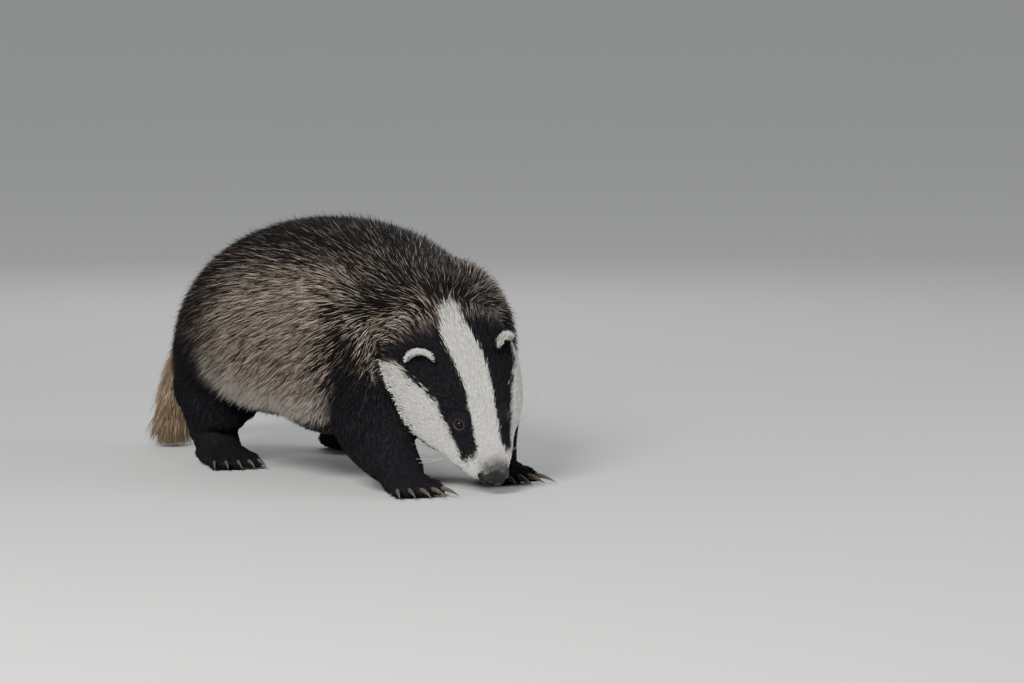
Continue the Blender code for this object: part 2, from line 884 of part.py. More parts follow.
def build_body(clearances):
    """Torso, neck and tail, cleared of the head and the legs."""
    body = body_form(CORE_INSET)
    add_locks(body)
    floor = (Vector((0, 0, TAIL_CLEARANCE)), Vector((0, 0, -1)))
    carve(body, block_beyond(floor, 0))
    for clearance in clearances:
        carve(body, clearance)
    neck = part_at(body, NECK_SEAM, "neck")
    tail = part_at(body, TAIL_SEAM, "tail")
    paint(body, "fur_grey")
    paint(neck, "fur_grey")
    paint(tail, "fur_buff")


def centre_over_origin():
    """Moves every node so that the origin lies under the middle of the animal."""
    corners = [node.bound_box for node in bpy.data.objects]
    xs = [corner[0] for box in corners for corner in box]
    ys = [corner[1] for box in corners for corner in box]
    shift = Vector((-(min(xs) + max(xs)) / 2, -(min(ys) + max(ys)) / 2, 0))
    for node in bpy.data.objects:
        node.data.transform(Matrix.Translation(shift))


def main():
    clear_scene()
    head_plain = build_head()
    clearances = build_legs(head_plain)
    clearances.append(grown(head_plain))
    discard(head_plain)
    build_body(clearances)
    centre_over_origin()


main()
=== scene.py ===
"""European badger, a life-size museum model in mid-step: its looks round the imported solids.

Metres, +Z up. The animal faces -Y and its left side is +X. Skin, coat, eyes, nose pad,
claws and whiskers are made in the frame of the body's own measures, and each piece is
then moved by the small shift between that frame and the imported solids.
"""

import json
import math

import bmesh
import bpy
import numpy as np
from mathutils import Matrix, Vector
from mathutils.bvhtree import BVHTree
from mathutils.kdtree import KDTree

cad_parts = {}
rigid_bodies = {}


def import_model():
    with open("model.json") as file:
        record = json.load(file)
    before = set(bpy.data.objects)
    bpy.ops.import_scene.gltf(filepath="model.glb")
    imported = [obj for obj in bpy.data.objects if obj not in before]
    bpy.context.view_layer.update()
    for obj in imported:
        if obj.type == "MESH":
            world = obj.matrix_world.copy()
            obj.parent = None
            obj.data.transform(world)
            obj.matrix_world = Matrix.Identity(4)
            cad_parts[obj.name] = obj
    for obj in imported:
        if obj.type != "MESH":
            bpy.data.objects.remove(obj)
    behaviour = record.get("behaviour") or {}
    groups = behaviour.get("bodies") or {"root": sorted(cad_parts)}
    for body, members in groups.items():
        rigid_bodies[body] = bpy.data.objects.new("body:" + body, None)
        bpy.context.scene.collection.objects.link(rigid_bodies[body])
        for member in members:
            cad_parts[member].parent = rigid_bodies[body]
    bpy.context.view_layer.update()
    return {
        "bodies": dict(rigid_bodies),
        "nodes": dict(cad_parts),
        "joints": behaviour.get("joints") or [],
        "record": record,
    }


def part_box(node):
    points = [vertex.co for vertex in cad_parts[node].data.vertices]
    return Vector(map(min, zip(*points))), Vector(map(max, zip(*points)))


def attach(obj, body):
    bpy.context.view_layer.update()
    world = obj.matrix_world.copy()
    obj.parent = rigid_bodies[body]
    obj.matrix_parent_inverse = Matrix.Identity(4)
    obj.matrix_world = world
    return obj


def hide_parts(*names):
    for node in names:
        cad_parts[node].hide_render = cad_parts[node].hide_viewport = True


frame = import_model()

MM = 0.001

# Trunk, out to the tips of the coat
BACK_HEIGHT = 0.253
WIDEST_HEIGHT = 0.120
BELLY_HEIGHT = 0.056
TRUNK_HALF_WIDTH = 0.140
TRUNK_PEAK_Y = 0.010
TRUNK_FRONT = 0.190
TRUNK_REAR = 0.237
TRUNK_RINGS = 30

# Shoulder and haunch masses: centre of the left one, radii
SHOULDER = ((0.066, -0.095, 0.130), (0.059, 0.086, 0.086))
HAUNCH = ((0.070, 0.118, 0.112), (0.053, 0.080, 0.082))

# Neck, from between the shoulders to the back of the skull: centre, half width, height
NECK = (
    ((0, -0.050, 0.150), 0.104, 0.092),
    ((0, -0.105, 0.150), 0.097, 0.080),
    ((0.012, -0.144, 0.149), 0.084, 0.063),
)

# Tail, from the rump to its tip
TAIL = (
    ((0.000, 0.195, 0.165), 0.034, 0.030),
    ((-0.010, 0.240, 0.142), 0.027, 0.024),
    ((-0.032, 0.273, 0.102), 0.027, 0.023),
    ((-0.043, 0.284, 0.062), 0.028, 0.021),
    ((-0.047, 0.286, 0.036), 0.021, 0.016),
)

# How deep the skin lies under the tips of the coat
BODY_COAT = 10 * MM
NECK_COAT = 5 * MM
TAIL_COAT = 8 * MM
LEG_COAT = 2.2 * MM
PAW_COAT = 0.8 * MM
HEAD_COAT = 2.2 * MM

# Head, in its own axes: forward to the nose, left, and up through the crown
HEAD_ORIGIN = Vector((0.0105, -0.205, 0.124))
HEAD_YAW = math.radians(5.6)
HEAD_PITCH = math.radians(50.6)
HEAD_ROLL = math.radians(13.1)
EYES_MIDPOINT = Vector((72.343, 0.356, 5.860)) * MM

# Sections of the head in millimetres: forward, half width, widest level, top, bottom
HEAD_SECTIONS = (
    (-52, 42, -4, 26, -34),
    (-30, 62, -8, 34, -46),
    (0, 69, -13, 35, -54),
    (25, 67, -17, 32, -56),
    (50, 60, -20, 22, -52),
    (66, 51, -22, 14, -47),
    (80, 40, -23, 6, -43),
    (96, 31.5, -22, 0, -39),
    (106, 25.5, -21, -5, -37),
    (114, 20, -21, -10, -34),
)
# Left brow in millimetres: centre, radii
BROW = ((66, 19, 0), (20, 12, 12))
# Left eye: the way it looks and the way its opening runs, in the head's axes; its radius,
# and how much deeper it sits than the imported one
EYE_GAZE = Vector((0.50, 0.60, 0.62)).normalized()
EYE_OPENING_WAY = (0.80, -0.55, -0.25)
EYE_RADIUS = 5.2 * MM
EYE_DEPTH = 1.2 * MM
# Left ear: middle of its cup, radius in millimetres, and turn in degrees
EAR = Vector((8, 43, 23)) * MM
EAR_RADIUS = 12.4
EAR_TURN = (28, -8, 36)
# Depth of its cup, how far forward its rim stands, and how thick its wall is
EAR_DEPTH, EAR_FORWARD, EAR_WALL = 8.0, 1.0, 2.6
# Line of the lips in millimetres: forward, level
MOUTH_LINE = ((66, -30), (76, -33.5), (92, -34.5), (108, -33), (118, -32))
# Nose pad in millimetres: centre, radii, droop in degrees; and the haired skin that
# reaches over its back and top: centre, radii
NOSE_PAD = ((118.5, 0, -18), (12.5, 16, 10.8), 18)
NOSE_BRIDGE = ((112, 0, -16.8), (18, 16, 11.3))

# Each leg from the top: outward, along, height, half width, half depth
LEG_JOINTS = {
    "front_leg_right": (
        (0.050, -0.140, 0.118, 0.034, 0.038),
        (0.058, -0.156, 0.094, 0.036, 0.040),
        (0.064, -0.176, 0.064, 0.036, 0.038),
        (0.058, -0.201, 0.038, 0.030, 0.031),
        (0.051, -0.217, 0.022, 0.025, 0.019),
    ),
    "front_leg_left": (
        (0.066, -0.112, 0.122, 0.036, 0.040),
        (0.080, -0.116, 0.094, 0.039, 0.043),
        (0.086, -0.128, 0.064, 0.036, 0.038),
        (0.082, -0.146, 0.038, 0.030, 0.030),
        (0.079, -0.162, 0.022, 0.025, 0.019),
    ),
    "hind_leg_right": (
        (0.062, 0.112, 0.110, 0.034, 0.046),
        (0.084, 0.112, 0.088, 0.038, 0.056),
        (0.092, 0.104, 0.060, 0.034, 0.043),
        (0.092, 0.106, 0.034, 0.025, 0.030),
        (0.091, 0.092, 0.019, 0.023, 0.017),
    ),
    "hind_leg_left": (
        (0.062, 0.124, 0.110, 0.034, 0.046),
        (0.084, 0.140, 0.088, 0.038, 0.054),
        (0.092, 0.158, 0.060, 0.034, 0.043),
        (0.092, 0.178, 0.034, 0.025, 0.030),
        (0.091, 0.168, 0.019, 0.023, 0.017),
    ),
}

# Paws: reach of the pad behind and before the wrist, claw length, turn outward in degrees
PAWS = {"front": (0.008, 0.024, 0.026, 4), "hind": (0.026, 0.026, 0.014, 6)}
# Toes of a paw, and degrees from one to the next
TOES = 5
TOE_FAN = 9
TOE_RADIUS = 6.6 * MM
TOE_LENGTH = 0.017
OUTER_TOE_SHORTER = 0.16
TOE_ROOT_BACK = 0.008
TOE_ROOT_HEIGHT, KNUCKLE_RISE, TOE_TIP_HEIGHT = 0.009, 0.0065, 0.0062
PALM_HALF_WIDTH = 0.023
CLAW_RADIUS = 2.4 * MM

# Size of the skin's faces, and rounds of smoothing: at first, of the shares of the parts,
# and where body, neck and legs meet
SKIN_VOXEL = 2.9 * MM
FIRST_ROUNDS = 3
SHARE_ROUNDS = 14
BLEND_ROUNDS = 50
FLOOR_CLEARANCE = 1.6 * MM
# Width of each tuft's patch on the map, and the most triangles in one piece of coat
PATCH = 0.003
PIECE_TRIANGLES = 190000

# The photo's viewing angle in degrees, the point looked at, and a long lens far off
CAMERA_TURN = -29
CAMERA_RISE = 5
CAMERA_TARGET_HEIGHT = 0.128
CAMERA_TARGET_RIGHT = 0.1653
CAMERA_AWAY = 6.0
CAMERA_LENS = 213

# Soft lamps: place, size, power and colour
LAMPS = {
    "key": ((-1.9, -1.9, 1.5), 1.0, 142, (1.0, 0.98, 0.95)),
    "fill": ((1.8, -1.4, 0.9), 1.6, 26, (0.95, 0.98, 1.0)),
    "rim": ((0.9, 1.9, 1.3), 1.2, 10, (1.0, 1.0, 1.0)),
}
LAMP_AIM = (0, 0, 0.12)
SKY_COLOUR = (0.90, 0.92, 0.95, 1)
SKY_STRENGTH = 0.46
FLOOR_COLOUR = (0.62, 0.62, 0.61, 1)
FLOOR_SIZE = 60

# Hair colours, linear
WHITE_HAIR = np.array((0.820, 0.795, 0.740))
BLACK_HAIR = np.array((0.0105, 0.0095, 0.0120))
BUFF_HAIR = np.array((0.360, 0.275, 0.185))
PALE_HAIR = np.array((0.740, 0.615, 0.515))
DARK_HAIR = np.array((0.0135, 0.0120, 0.0115))
LID_SKIN = np.array((0.060, 0.053, 0.051))

WORLD = Matrix.Identity(4)


# Measuring and easing

def ramp(values, low, high):
    """0 at low, 1 at high and smooth between; low may be the larger of the two."""
    share = np.clip((np.asarray(values) - low) / (high - low), 0, 1)
    return share * share * (3 - 2 * share)


def ripple(points, size, seed):
    """An uneven value from about -1 to 1 that changes over the given size."""
    chance = np.random.default_rng(seed)
    total = np.zeros(len(points))
    for _ in range(7):
        direction = chance.normal(size=3)
        direction *= math.tau * chance.uniform(0.5, 1.6) / size / np.linalg.norm(direction)
        total += np.sin(points @ direction + chance.uniform(0, math.tau))
    return total / 3.2


def unit(vectors):
    lengths = np.linalg.norm(vectors, axis=-1, keepdims=True)
    return vectors / np.maximum(lengths, 1e-9)


def flat_on(vectors, normals):
    """The vectors laid down on the surface, one unit long."""
    along = (vectors * normals).sum(-1, keepdims=True)
    return unit(vectors - normals * along)


def head_matrix():
    """Head axes (forward, left, up) to the frame of the body's measures."""
    forward = Vector((math.sin(HEAD_YAW), -math.cos(HEAD_YAW), 0))
    left = Vector((math.cos(HEAD_YAW), math.sin(HEAD_YAW), 0))
    up = Vector((0, 0, 1))
    dip, lift = math.sin(HEAD_PITCH), math.cos(HEAD_PITCH)
    forward, up = forward * lift - up * dip, up * lift + forward * dip
    lean, stay = math.sin(HEAD_ROLL), math.cos(HEAD_ROLL)
    left, up = left * stay + up * lean, up * stay - left * lean
    turn = Matrix((forward, left, up)).transposed()
    return Matrix.Translation(HEAD_ORIGIN) @ turn.to_4x4()


HEAD = head_matrix()
HEAD_AXES = np.array(HEAD.to_3x3())


def in_head(points):
    """Points as forward, left and up of the head, in millimetres."""
    return (points - np.array(HEAD_ORIGIN)) @ HEAD_AXES / MM


def packed_shift():
    """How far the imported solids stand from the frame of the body's measures."""
    corners = [*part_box("eye_left"), *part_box("eye_right")]
    shift = sum(corners, Vector()) / 4 - HEAD @ EYES_MIDPOINT
    return Vector((shift.x, shift.y, 0))


SHIFT = packed_shift()


# Making and placing pieces

def placed(name, data):
    """Puts new data into the scene as an object."""
    made = bpy.data.objects.new(name, data)
    bpy.context.scene.collection.objects.link(made)
    return made


def object_of(name, shape):
    """Turns a bmesh into an object whose faces look outward."""
    bmesh.ops.recalc_face_normals(shape, faces=shape.faces)
    if shape.calc_volume(signed=True) < 0:
        bmesh.ops.reverse_faces(shape, faces=shape.faces)
    mesh = bpy.data.meshes.new(name)
    shape.to_mesh(mesh)
    shape.free()
    return placed(name, mesh)


def apply_modifiers(item):
    graph = bpy.context.evaluated_depsgraph_get()
    made = bpy.data.meshes.new_from_object(item.evaluated_get(graph))
    item.modifiers.clear()
    item.data = made


def set_in_place(piece, material, slot, nodes=()):
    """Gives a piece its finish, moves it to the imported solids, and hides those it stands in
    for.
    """
    piece.data.materials.append(material)
    piece.data.transform(Matrix.Translation(SHIFT))
    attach(piece, "root")
    if nodes:
        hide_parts(*nodes)


def add_shape(target, shape):
    """Adds one bmesh to another, and frees it."""
    carried = bpy.data.meshes.new("carried")
    shape.to_mesh(carried)
    shape.free()
    target.from_mesh(carried)
    bpy.data.meshes.remove(carried)


# Rounded forms of the body

def ball_moved(rings, sides, place):
    """A ball whose points are set ring by ring, where place(ring, turn) says."""
    shape = bmesh.new()
    bmesh.ops.create_uvsphere(shape, u_segments=sides, v_segments=rings, radius=1)
    for vertex in shape.verts:
        height = max(-1.0, min(1.0, vertex.co.z))
        ring = round(rings * math.acos(height) / math.pi)
        vertex.co = place(ring, math.atan2(vertex.co.y, vertex.co.x))
    return shape


def form_through(sections, sides, frame=WORLD):
    """A closed form through sections of (centre, side, up, down), its ends points."""

    def place(ring, turn):
        centre, side, up, down = sections[ring]
        rise = up if math.sin(turn) > 0 else down
        return frame @ (centre + side * math.cos(turn) + rise * math.sin(turn))

    return ball_moved(len(sections) - 1, sides, place)


def dome(section, reach):
    """Shrinking sections that close an end, from the form outward to a point."""
    made = []
    for degrees in (25, 50, 70, 90):
        swing = math.radians(degrees)
        centre, *spread = section
        shrunk = [vector * math.cos(swing) for vector in spread]
        made.append((centre + reach * math.sin(swing), *shrunk))
    return made


def with_domes(sections, first_reach, last_reach):
    return dome(sections[0], first_reach)[::-1] + sections + dome(sections[-1], last_reach)


def eased_rows(rows, steps):
    """Rows of numbers, with more of them between along smooth curves."""
    rows = [np.array(row, float) for row in rows]
    last = len(rows) - 1
    dense = []
    for i in range(last):
        before, here, ahead, beyond = (rows[max(0, min(last, i + k))] for k in (-1, 0, 1, 2))
        for step in range(steps):
            t = step / steps
            bend = 2 * before - 5 * here + 4 * ahead - beyond
            twist = 3 * here - before - 3 * ahead + beyond
            dense.append(here + 0.5 * t * (ahead - before + t * (bend + t * twist)))
    return dense + [rows[last]]


def limb(stations, coat, frame=WORLD, sides=24):
    """A tube through stations of (centre, half width, half height), round at both ends."""
    rows = [(*centre, wide, high) for centre, wide, high in stations]
    dense = eased_rows(rows, 5)
    last = len(dense) - 1
    side = Vector((1, 0, 0)) if frame is WORLD else Vector((0, 1, 0))
    sections, reaches = [], []
    for i, row in enumerate(dense):
        along = Vector(dense[min(i + 1, last)][:3] - dense[max(i - 1, 0)][:3]).normalized()
        side = (side - along * side.dot(along)).normalized()
        across = side.cross(along)
        wide, high = row[3] - coat, row[4] - coat
        sections.append((Vector(row[:3]), side * wide, across * high, across * high))
        reaches.append(along * min(wide, high))
    return form_through(with_domes(sections, -reaches[0], reaches[-1]), sides, frame)


def arch(u, power):
    """Height of a rounded arch at share u of its half length."""
    return (1 - min(1.0, abs(u)) ** power) ** 0.5


def trunk():
    """The barrel of the body: round over the back, fuller low on the flanks."""

    def place(ring, turn):
        swing = math.radians(-90 + 180 * ring / TRUNK_RINGS)
        share = math.sin(swing)
        length = (TRUNK_REAR if swing > 0 else TRUNK_FRONT) - BODY_COAT
        fullness = 2.15 if swing > 0 else 2.6
        cosine, sine = math.cos(turn), math.sin(turn)
        square = 1.0 if sine > 0 else 0.8
        width = (TRUNK_HALF_WIDTH - BODY_COAT) * arch(share, fullness)
        rise = (BACK_HEIGHT - WIDEST_HEIGHT - BODY_COAT) * arch(share, fullness - 0.1)
        drop = (WIDEST_HEIGHT - BELLY_HEIGHT) * arch(share, 3)
        x = width * math.copysign(abs(cosine) ** square, cosine)
        reach = rise if sine > 0 else drop
        z = WIDEST_HEIGHT + reach * math.copysign(abs(sine) ** square, sine)
        return Vector((x, TRUNK_PEAK_Y + length * share, z))

    return ball_moved(TRUNK_RINGS, 40, place)


def turned(roll, pitch, yaw):
    """A turn in degrees about X, then Y, then Z."""
    roll, pitch, yaw = (math.radians(degrees) for degrees in (roll, pitch, yaw))
    spin = Matrix.Rotation(yaw, 3, "Z") @ Matrix.Rotation(pitch, 3, "Y")
    return spin @ Matrix.Rotation(roll, 3, "X")


def rounded(centre, radii, frame=WORLD, segments=32):
    """A ball drawn out to three radii in its frame."""
    shape = bmesh.new()
    bmesh.ops.create_uvsphere(shape, u_segments=segments, v_segments=segments // 2, radius=1)
    place = Matrix.LocRotScale(Vector(centre), None, Vector(radii))
    bmesh.ops.transform(shape, matrix=frame @ place, verts=shape.verts)
    return shape


def body_forms():
    """Trunk, neck, shoulders and haunches."""
    shape = trunk()
    add_shape(shape, limb(NECK, NECK_COAT))
    for (centre, radii), coat in ((SHOULDER, NECK_COAT), (HAUNCH, BODY_COAT)):
        for side in (-1, 1):
            spot = (side * centre[0], centre[1], centre[2])
            add_shape(shape, rounded(spot, [radius - coat for radius in radii]))
    return shape


def head_forms():
    """Skull, cheeks, brows and muzzle."""
    sections = []
    for forward, wide, level, top, bottom in eased_rows(HEAD_SECTIONS, 4):
        coat = HEAD_COAT / MM * (1 - 0.5 * float(ramp(forward, 60, 110)))
        centre = Vector((forward, 0, level)) * MM
        side = Vector((0, wide - coat, 0)) * MM
        up = Vector((0, 0, top - level - coat)) * MM
        down = Vector((0, 0, level - bottom - coat)) * MM
        sections.append((centre, side, up, down))
    ends = Vector((-14, 0, 0)) * MM, Vector((5, 0, 0)) * MM
    shape = form_through(with_domes(sections, *ends), 48, HEAD)
    centre, radii = BROW
    for side in (-1, 1):
        spot = Vector((centre[0], side * centre[1], centre[2])) * MM
        kept = [radius * MM - HEAD_COAT for radius in radii]
        add_shape(shape, rounded(spot, kept, frame=HEAD))
    centre, radii = NOSE_BRIDGE
    add_shape(shape, rounded(Vector(centre) * MM, Vector(radii) * MM, frame=HEAD))
    return shape


def side_of(name):
    return -1 if name.endswith("right") else 1


def paw_of(name):
    return PAWS[name.split("_")[0]]


def paw_frame(name):
    """The paw's own axes: forward, left and up, from under the wrist."""
    outward, along, *_ = LEG_JOINTS[name][-1]
    turn = math.radians(-90 + side_of(name) * paw_of(name)[3])
    spot = Vector((side_of(name) * outward, along, 0))
    return Matrix.Translation(spot) @ Matrix.Rotation(turn, 4, "Z")


def toe_angles():
    return [(k - (TOES - 1) / 2) * TOE_FAN for k in range(TOES)]


def toe_tip(ball, degrees):
    """Where a toe ends, in the paw's axes: the middle toes reach furthest."""
    turn = math.radians(degrees)
    reach = TOE_LENGTH * (1 - OUTER_TOE_SHORTER * (degrees / TOE_FAN) ** 2 / 4)
    root = Vector((ball, math.sin(turn) * PALM_HALF_WIDTH * 2.6, 0))
    return root + Vector((math.cos(turn), math.sin(turn), 0)) * reach


def leg_forms(name):
    """A leg down to the wrist, its palm and its toes."""
    heel, ball, _, _ = paw_of(name)
    place = paw_frame(name)
    joints = [
        ((side_of(name) * joint[0], joint[1], joint[2]), joint[3], joint[4])
        for joint in LEG_JOINTS[name]
    ]
    shape = limb(joints, LEG_COAT)
    palm = (
        ((-heel, 0, 0.011), 0.019, 0.0125),
        ((ball / 2, 0, 0.012), PALM_HALF_WIDTH, 0.0135),
        ((ball, 0, 0.010), PALM_HALF_WIDTH, 0.0115),
    )
    add_shape(shape, limb(palm, PAW_COAT, place))
    for degrees in toe_angles():
        tip = toe_tip(ball, degrees)
        root = Vector((ball - TOE_ROOT_BACK, tip.y * 0.82, TOE_ROOT_HEIGHT))
        knuckle = (root + tip) / 2 + Vector((0, 0, KNUCKLE_RISE))
        toe = (
            (root, TOE_RADIUS, TOE_RADIUS),
            (knuckle, TOE_RADIUS, TOE_RADIUS),
            (tip + Vector((0, 0, TOE_TIP_HEIGHT)), TOE_RADIUS * 0.92, TOE_RADIUS * 0.9),
        )
        add_shape(shape, limb(toe, PAW_COAT, place, sides=16))
    return shape


# One skin over all the forms

def coordinates(mesh):
    flat = np.empty(len(mesh.vertices) * 3)
    mesh.vertices.foreach_get("co", flat)
    return flat.reshape(-1, 3)


def evened(values, edges, rounds):
    """Values at the skin's points, each drawn towards its neighbours' by turns."""
    count = len(values)
    ends = np.concatenate((edges[:, 0], edges[:, 1]))
    others = np.concatenate((edges[:, 1], edges[:, 0]))
    share = 1 / (1 + np.bincount(ends, minlength=count))
    for _ in range(rounds):
        for column in values.T:
            near = np.bincount(ends, weights=column[others], minlength=count)
            column[:] = (column + near) * share
    return values


def edges_of(mesh):
    flat = np.empty(len(mesh.edges) * 2, dtype=np.int32)
    mesh.edges.foreach_get("vertices", flat)
    return flat.reshape(-1, 2)


PARTS = ("head", "body", "tail", "leg")


def shares_of_parts(mesh, trees):
    """How far each point of the skin belongs to head, body, tail and legs."""
    shares = np.zeros((len(mesh.vertices), len(PARTS)))
    for vertex in mesh.vertices:
        gaps = [trees[part].find_nearest(vertex.co)[3] for part in PARTS]
        shares[vertex.index, gaps.index(min(gaps))] = 1
    return evened(shares, edges_of(mesh), SHARE_ROUNDS)


def add_numbers(mesh, name, values):
    attribute = mesh.attributes.new(name, "FLOAT", "POINT")
    attribute.data.foreach_set("value", np.asarray(values, np.float32))


def numbers_of(mesh, name):
    values = np.empty(len(mesh.vertices), np.float32)
    mesh.attributes[name].data.foreach_get("value", values)
    return values.astype(float)


def smooth_over(item, group, rounds):
    smooth = item.modifiers.new("smooth", "SMOOTH")
    smooth.factor = 0.5
    smooth.iterations = rounds
    if group:
        smooth.vertex_group = group


def evened_skin():
    """One closed skin round all the forms, blended most where body, neck and legs meet."""
    forms = {
        "head": head_forms(),
        "body": body_forms(),
        "tail": limb(TAIL, TAIL_COAT),
        "leg": bmesh.new(),
    }
    for name in LEG_JOINTS:
        add_shape(forms["leg"], leg_forms(name))
    trees = {part: BVHTree.FromBMesh(shape) for part, shape in forms.items()}
    whole = bmesh.new()
    for shape in forms.values():
        add_shape(whole, shape)
    skin = object_of("skin", whole)
    even = skin.modifiers.new("even", "REMESH")
    even.mode = "VOXEL"
    even.voxel_size = SKIN_VOXEL
    smooth_over(skin, None, FIRST_ROUNDS)
    apply_modifiers(skin)
    shares = shares_of_parts(skin.data, trees)
    broad = skin.vertex_groups.new(name="broad")
    points = coordinates(skin.data)
    nape = shares[:, 0] * ramp(in_head(points)[:, 0], 22, -18)
    weights = (shares[:, 1] + shares[:, 2] + nape) * ramp(points[:, 2], 0.045, 0.075)
    for number, weight in enumerate(weights):
        broad.add([number], float(weight), "REPLACE")
    smooth_over(skin, "broad", BLEND_ROUNDS)
    apply_modifiers(skin)
    skin.vertex_groups.clear()
    for part, values in zip(PARTS, shares.T):
        add_numbers(skin.data, part, values)
    return skin


def set_on_floor(shape):
    for vertex in shape.verts:
        vertex.co.z = max(vertex.co.z, 0.0)


# Lids, mouth and muzzle, worked into the skin of the head

def head_direction(direction, side):
    return HEAD.to_3x3() @ Vector((direction[0], side * direction[1], direction[2]))


def eye_frame(side):
    """An eye's centre, in the frame of the measures, its gaze, and two axes of its lids."""
    low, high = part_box("eye_left" if side > 0 else "eye_right")
    gaze = head_direction(EYE_GAZE, side)
    along = head_direction(EYE_OPENING_WAY, side)
    along = (along - gaze * along.dot(gaze)).normalized()
    centre = (low + high) / 2 - SHIFT - gaze * EYE_DEPTH
    return centre, gaze, along, gaze.cross(along)


def finer(shape, chosen):
    """Halves the edges whose two ends are both chosen."""
    edges = [edge for edge in shape.edges if all(chosen(v.co) for v in edge.verts)]
    bmesh.ops.subdivide_edges(shape, edges=edges, cuts=1, use_grid_fill=True)


# Ranges of the head with more points, in millimetres: least forward, half width, level
FACE_RANGE = (44, 72, -60, 40)
MOUTH_RANGE = (62, 54, -44, -24)
EYE_RANGE = 14


def refine_head(shape):
    """More points on the face, and most round eyes, mouth and nose."""
    to_head = HEAD.inverted()
    eyes = [eye_frame(side)[0] for side in (1, -1)]

    def within(spot, limits):
        forward, left, up = to_head @ spot / MM
        least, wide, low, high = limits
        return forward > least and abs(left) < wide and low < up < high

    def face(spot):
        return within(spot, FACE_RANGE)

    def features(spot):
        near_an_eye = min((spot - eye).length for eye in eyes) < EYE_RANGE * MM
        return near_an_eye or within(spot, MOUTH_RANGE)

    finer(shape, face)
    finer(shape, features)
    near = [vertex for vertex in shape.verts if face(vertex.co)]
    for _ in range(2):
        bmesh.ops.smooth_vert(
            shape, verts=near, factor=0.5, use_axis_x=True, use_axis_y=True, use_axis_z=True
        )


# Half the opening of the lids, along and across, in millimetres
LID_OPENING = (4.4, 3.6)
# Ring of the lids by share of the opening, and its height over the eye's centre in mm
LID_PROFILE = ((0.0, 0.5), (0.86, 0.8), (1.02, 4.3), (1.22, 4.95), (1.5, 4.8), (2.6, 3.6))
LID_FULL, LID_EDGE = 1.5, 2.6
LID_REACH = 18
CORNER_DROP = 0.5


def shape_lids(shape, side):
    """Sinks the skin behind the eyeball and raises a rim of lids round it."""
    centre, gaze, along, across = eye_frame(side)
    shares, heights = zip(*LID_PROFILE)
    for vertex in shape.verts:
        offset = (vertex.co - centre) / MM
        if offset.length > LID_REACH:
            continue
        wide, high = offset.dot(along), offset.dot(across)
        share = math.hypot(wide / LID_OPENING[0], high / LID_OPENING[1])
        own = offset.dot(gaze)
        if share < LID_EDGE and own > -4:
            target = float(np.interp(share, shares, heights))
            corner = CORNER_DROP * abs(wide) / LID_OPENING[0] if share > 0.95 else 0.0
            hold = float(ramp(share, LID_EDGE, LID_FULL))
            moved = own + (target - corner - own) * hold
            vertex.co += gaze * (moved - own) * MM


# Depth and half width of the line of the lips, and the swell below it, in millimetres
LIP_LINE = (1.5, 0.9)
LIP_SWELL = (0.5, 1.4)
LIP_SWELL_DROP = 2.4


def hump(distance, high, wide):
    """A rounded rise of the given height, its sides falling off over the given width."""
    return high * math.exp(-((distance / wide) ** 2))


def shape_mouth(shape):
    """Draws the line of the lips along both sides of the muzzle."""
    to_head = HEAD.inverted()
    forwards, levels = zip(*MOUTH_LINE)
    shape.normal_update()
    for vertex in shape.verts:
        forward, left, up = to_head @ vertex.co / MM
        if 64 < forward < 120 and abs(left) < 56:
            off = up - float(np.interp(forward, forwards, levels))
            fade = float(ramp(forward, 64, 72))
            sink = hump(off, *LIP_LINE) - hump(off + LIP_SWELL_DROP, *LIP_SWELL)
            vertex.co -= vertex.normal * sink * fade * MM


def ear_frame(side):
    """An ear's own axes: out of its cup, across it, and up to its rim."""
    roll, pitch, yaw = EAR_TURN
    spin = turned(-side * roll, pitch, side * yaw)
    place = Matrix.Translation(Vector((EAR[0], side * EAR[1], EAR[2])))
    return HEAD @ place @ spin.to_4x4()


def ear_shape(side):
    """A small round cup: a ball whose front is pushed in along its back."""
    shape = bmesh.new()
    bmesh.ops.create_uvsphere(shape, u_segments=40, v_segments=28, radius=1)
    turn = Matrix.Rotation(math.radians(90), 4, "Y")
    bmesh.ops.transform(shape, matrix=turn, verts=shape.verts)
    for vertex in shape.verts:
        out = min(1.0, math.hypot(vertex.co.y, vertex.co.z))
        back = EAR_FORWARD - EAR_DEPTH * math.sqrt(max(0.0, 1 - out**2))
        front = back + EAR_WALL * (1 - out**8) ** 0.5
        vertex.co.x = (front if vertex.co.x > 0 else back) * MM
        vertex.co.y *= EAR_RADIUS * MM
        vertex.co.z *= EAR_RADIUS * MM
    place = ear_frame(side)
    bmesh.ops.transform(shape, matrix=place, verts=shape.verts)
    return shape, place


def add_ears(shape):
    """Adds both ears, and marks how far out on the cup each of their points lies."""
    shape.verts.layers.float.new("ear")
    for side in (1, -1):
        ear, place = ear_shape(side)
        own = ear.verts.layers.float.new("ear")
        back = place.inverted()
        for vertex in ear.verts:
            local = back @ vertex.co / MM
            high = 0.55 + 0.45 * float(ramp(local.z, 1, 8))
            vertex[own] = 1 + high * math.hypot(local.y, local.z) / EAR_RADIUS
        add_shape(shape, ear)


def unwrap(item):
    """Lays the skin out flat by its own shape, on the map that the coat shares."""
    bpy.ops.object.select_all(action="DESELECT")
    item.select_set(True)
    bpy.context.view_layer.objects.active = item
    item.data.uv_layers.new(name="OFBake")
    bpy.ops.object.mode_set(mode="EDIT")
    bpy.ops.mesh.select_all(action="SELECT")
    bpy.ops.uv.smart_project(angle_limit=math.radians(66), island_margin=0.001)
    bpy.ops.object.mode_set(mode="OBJECT")


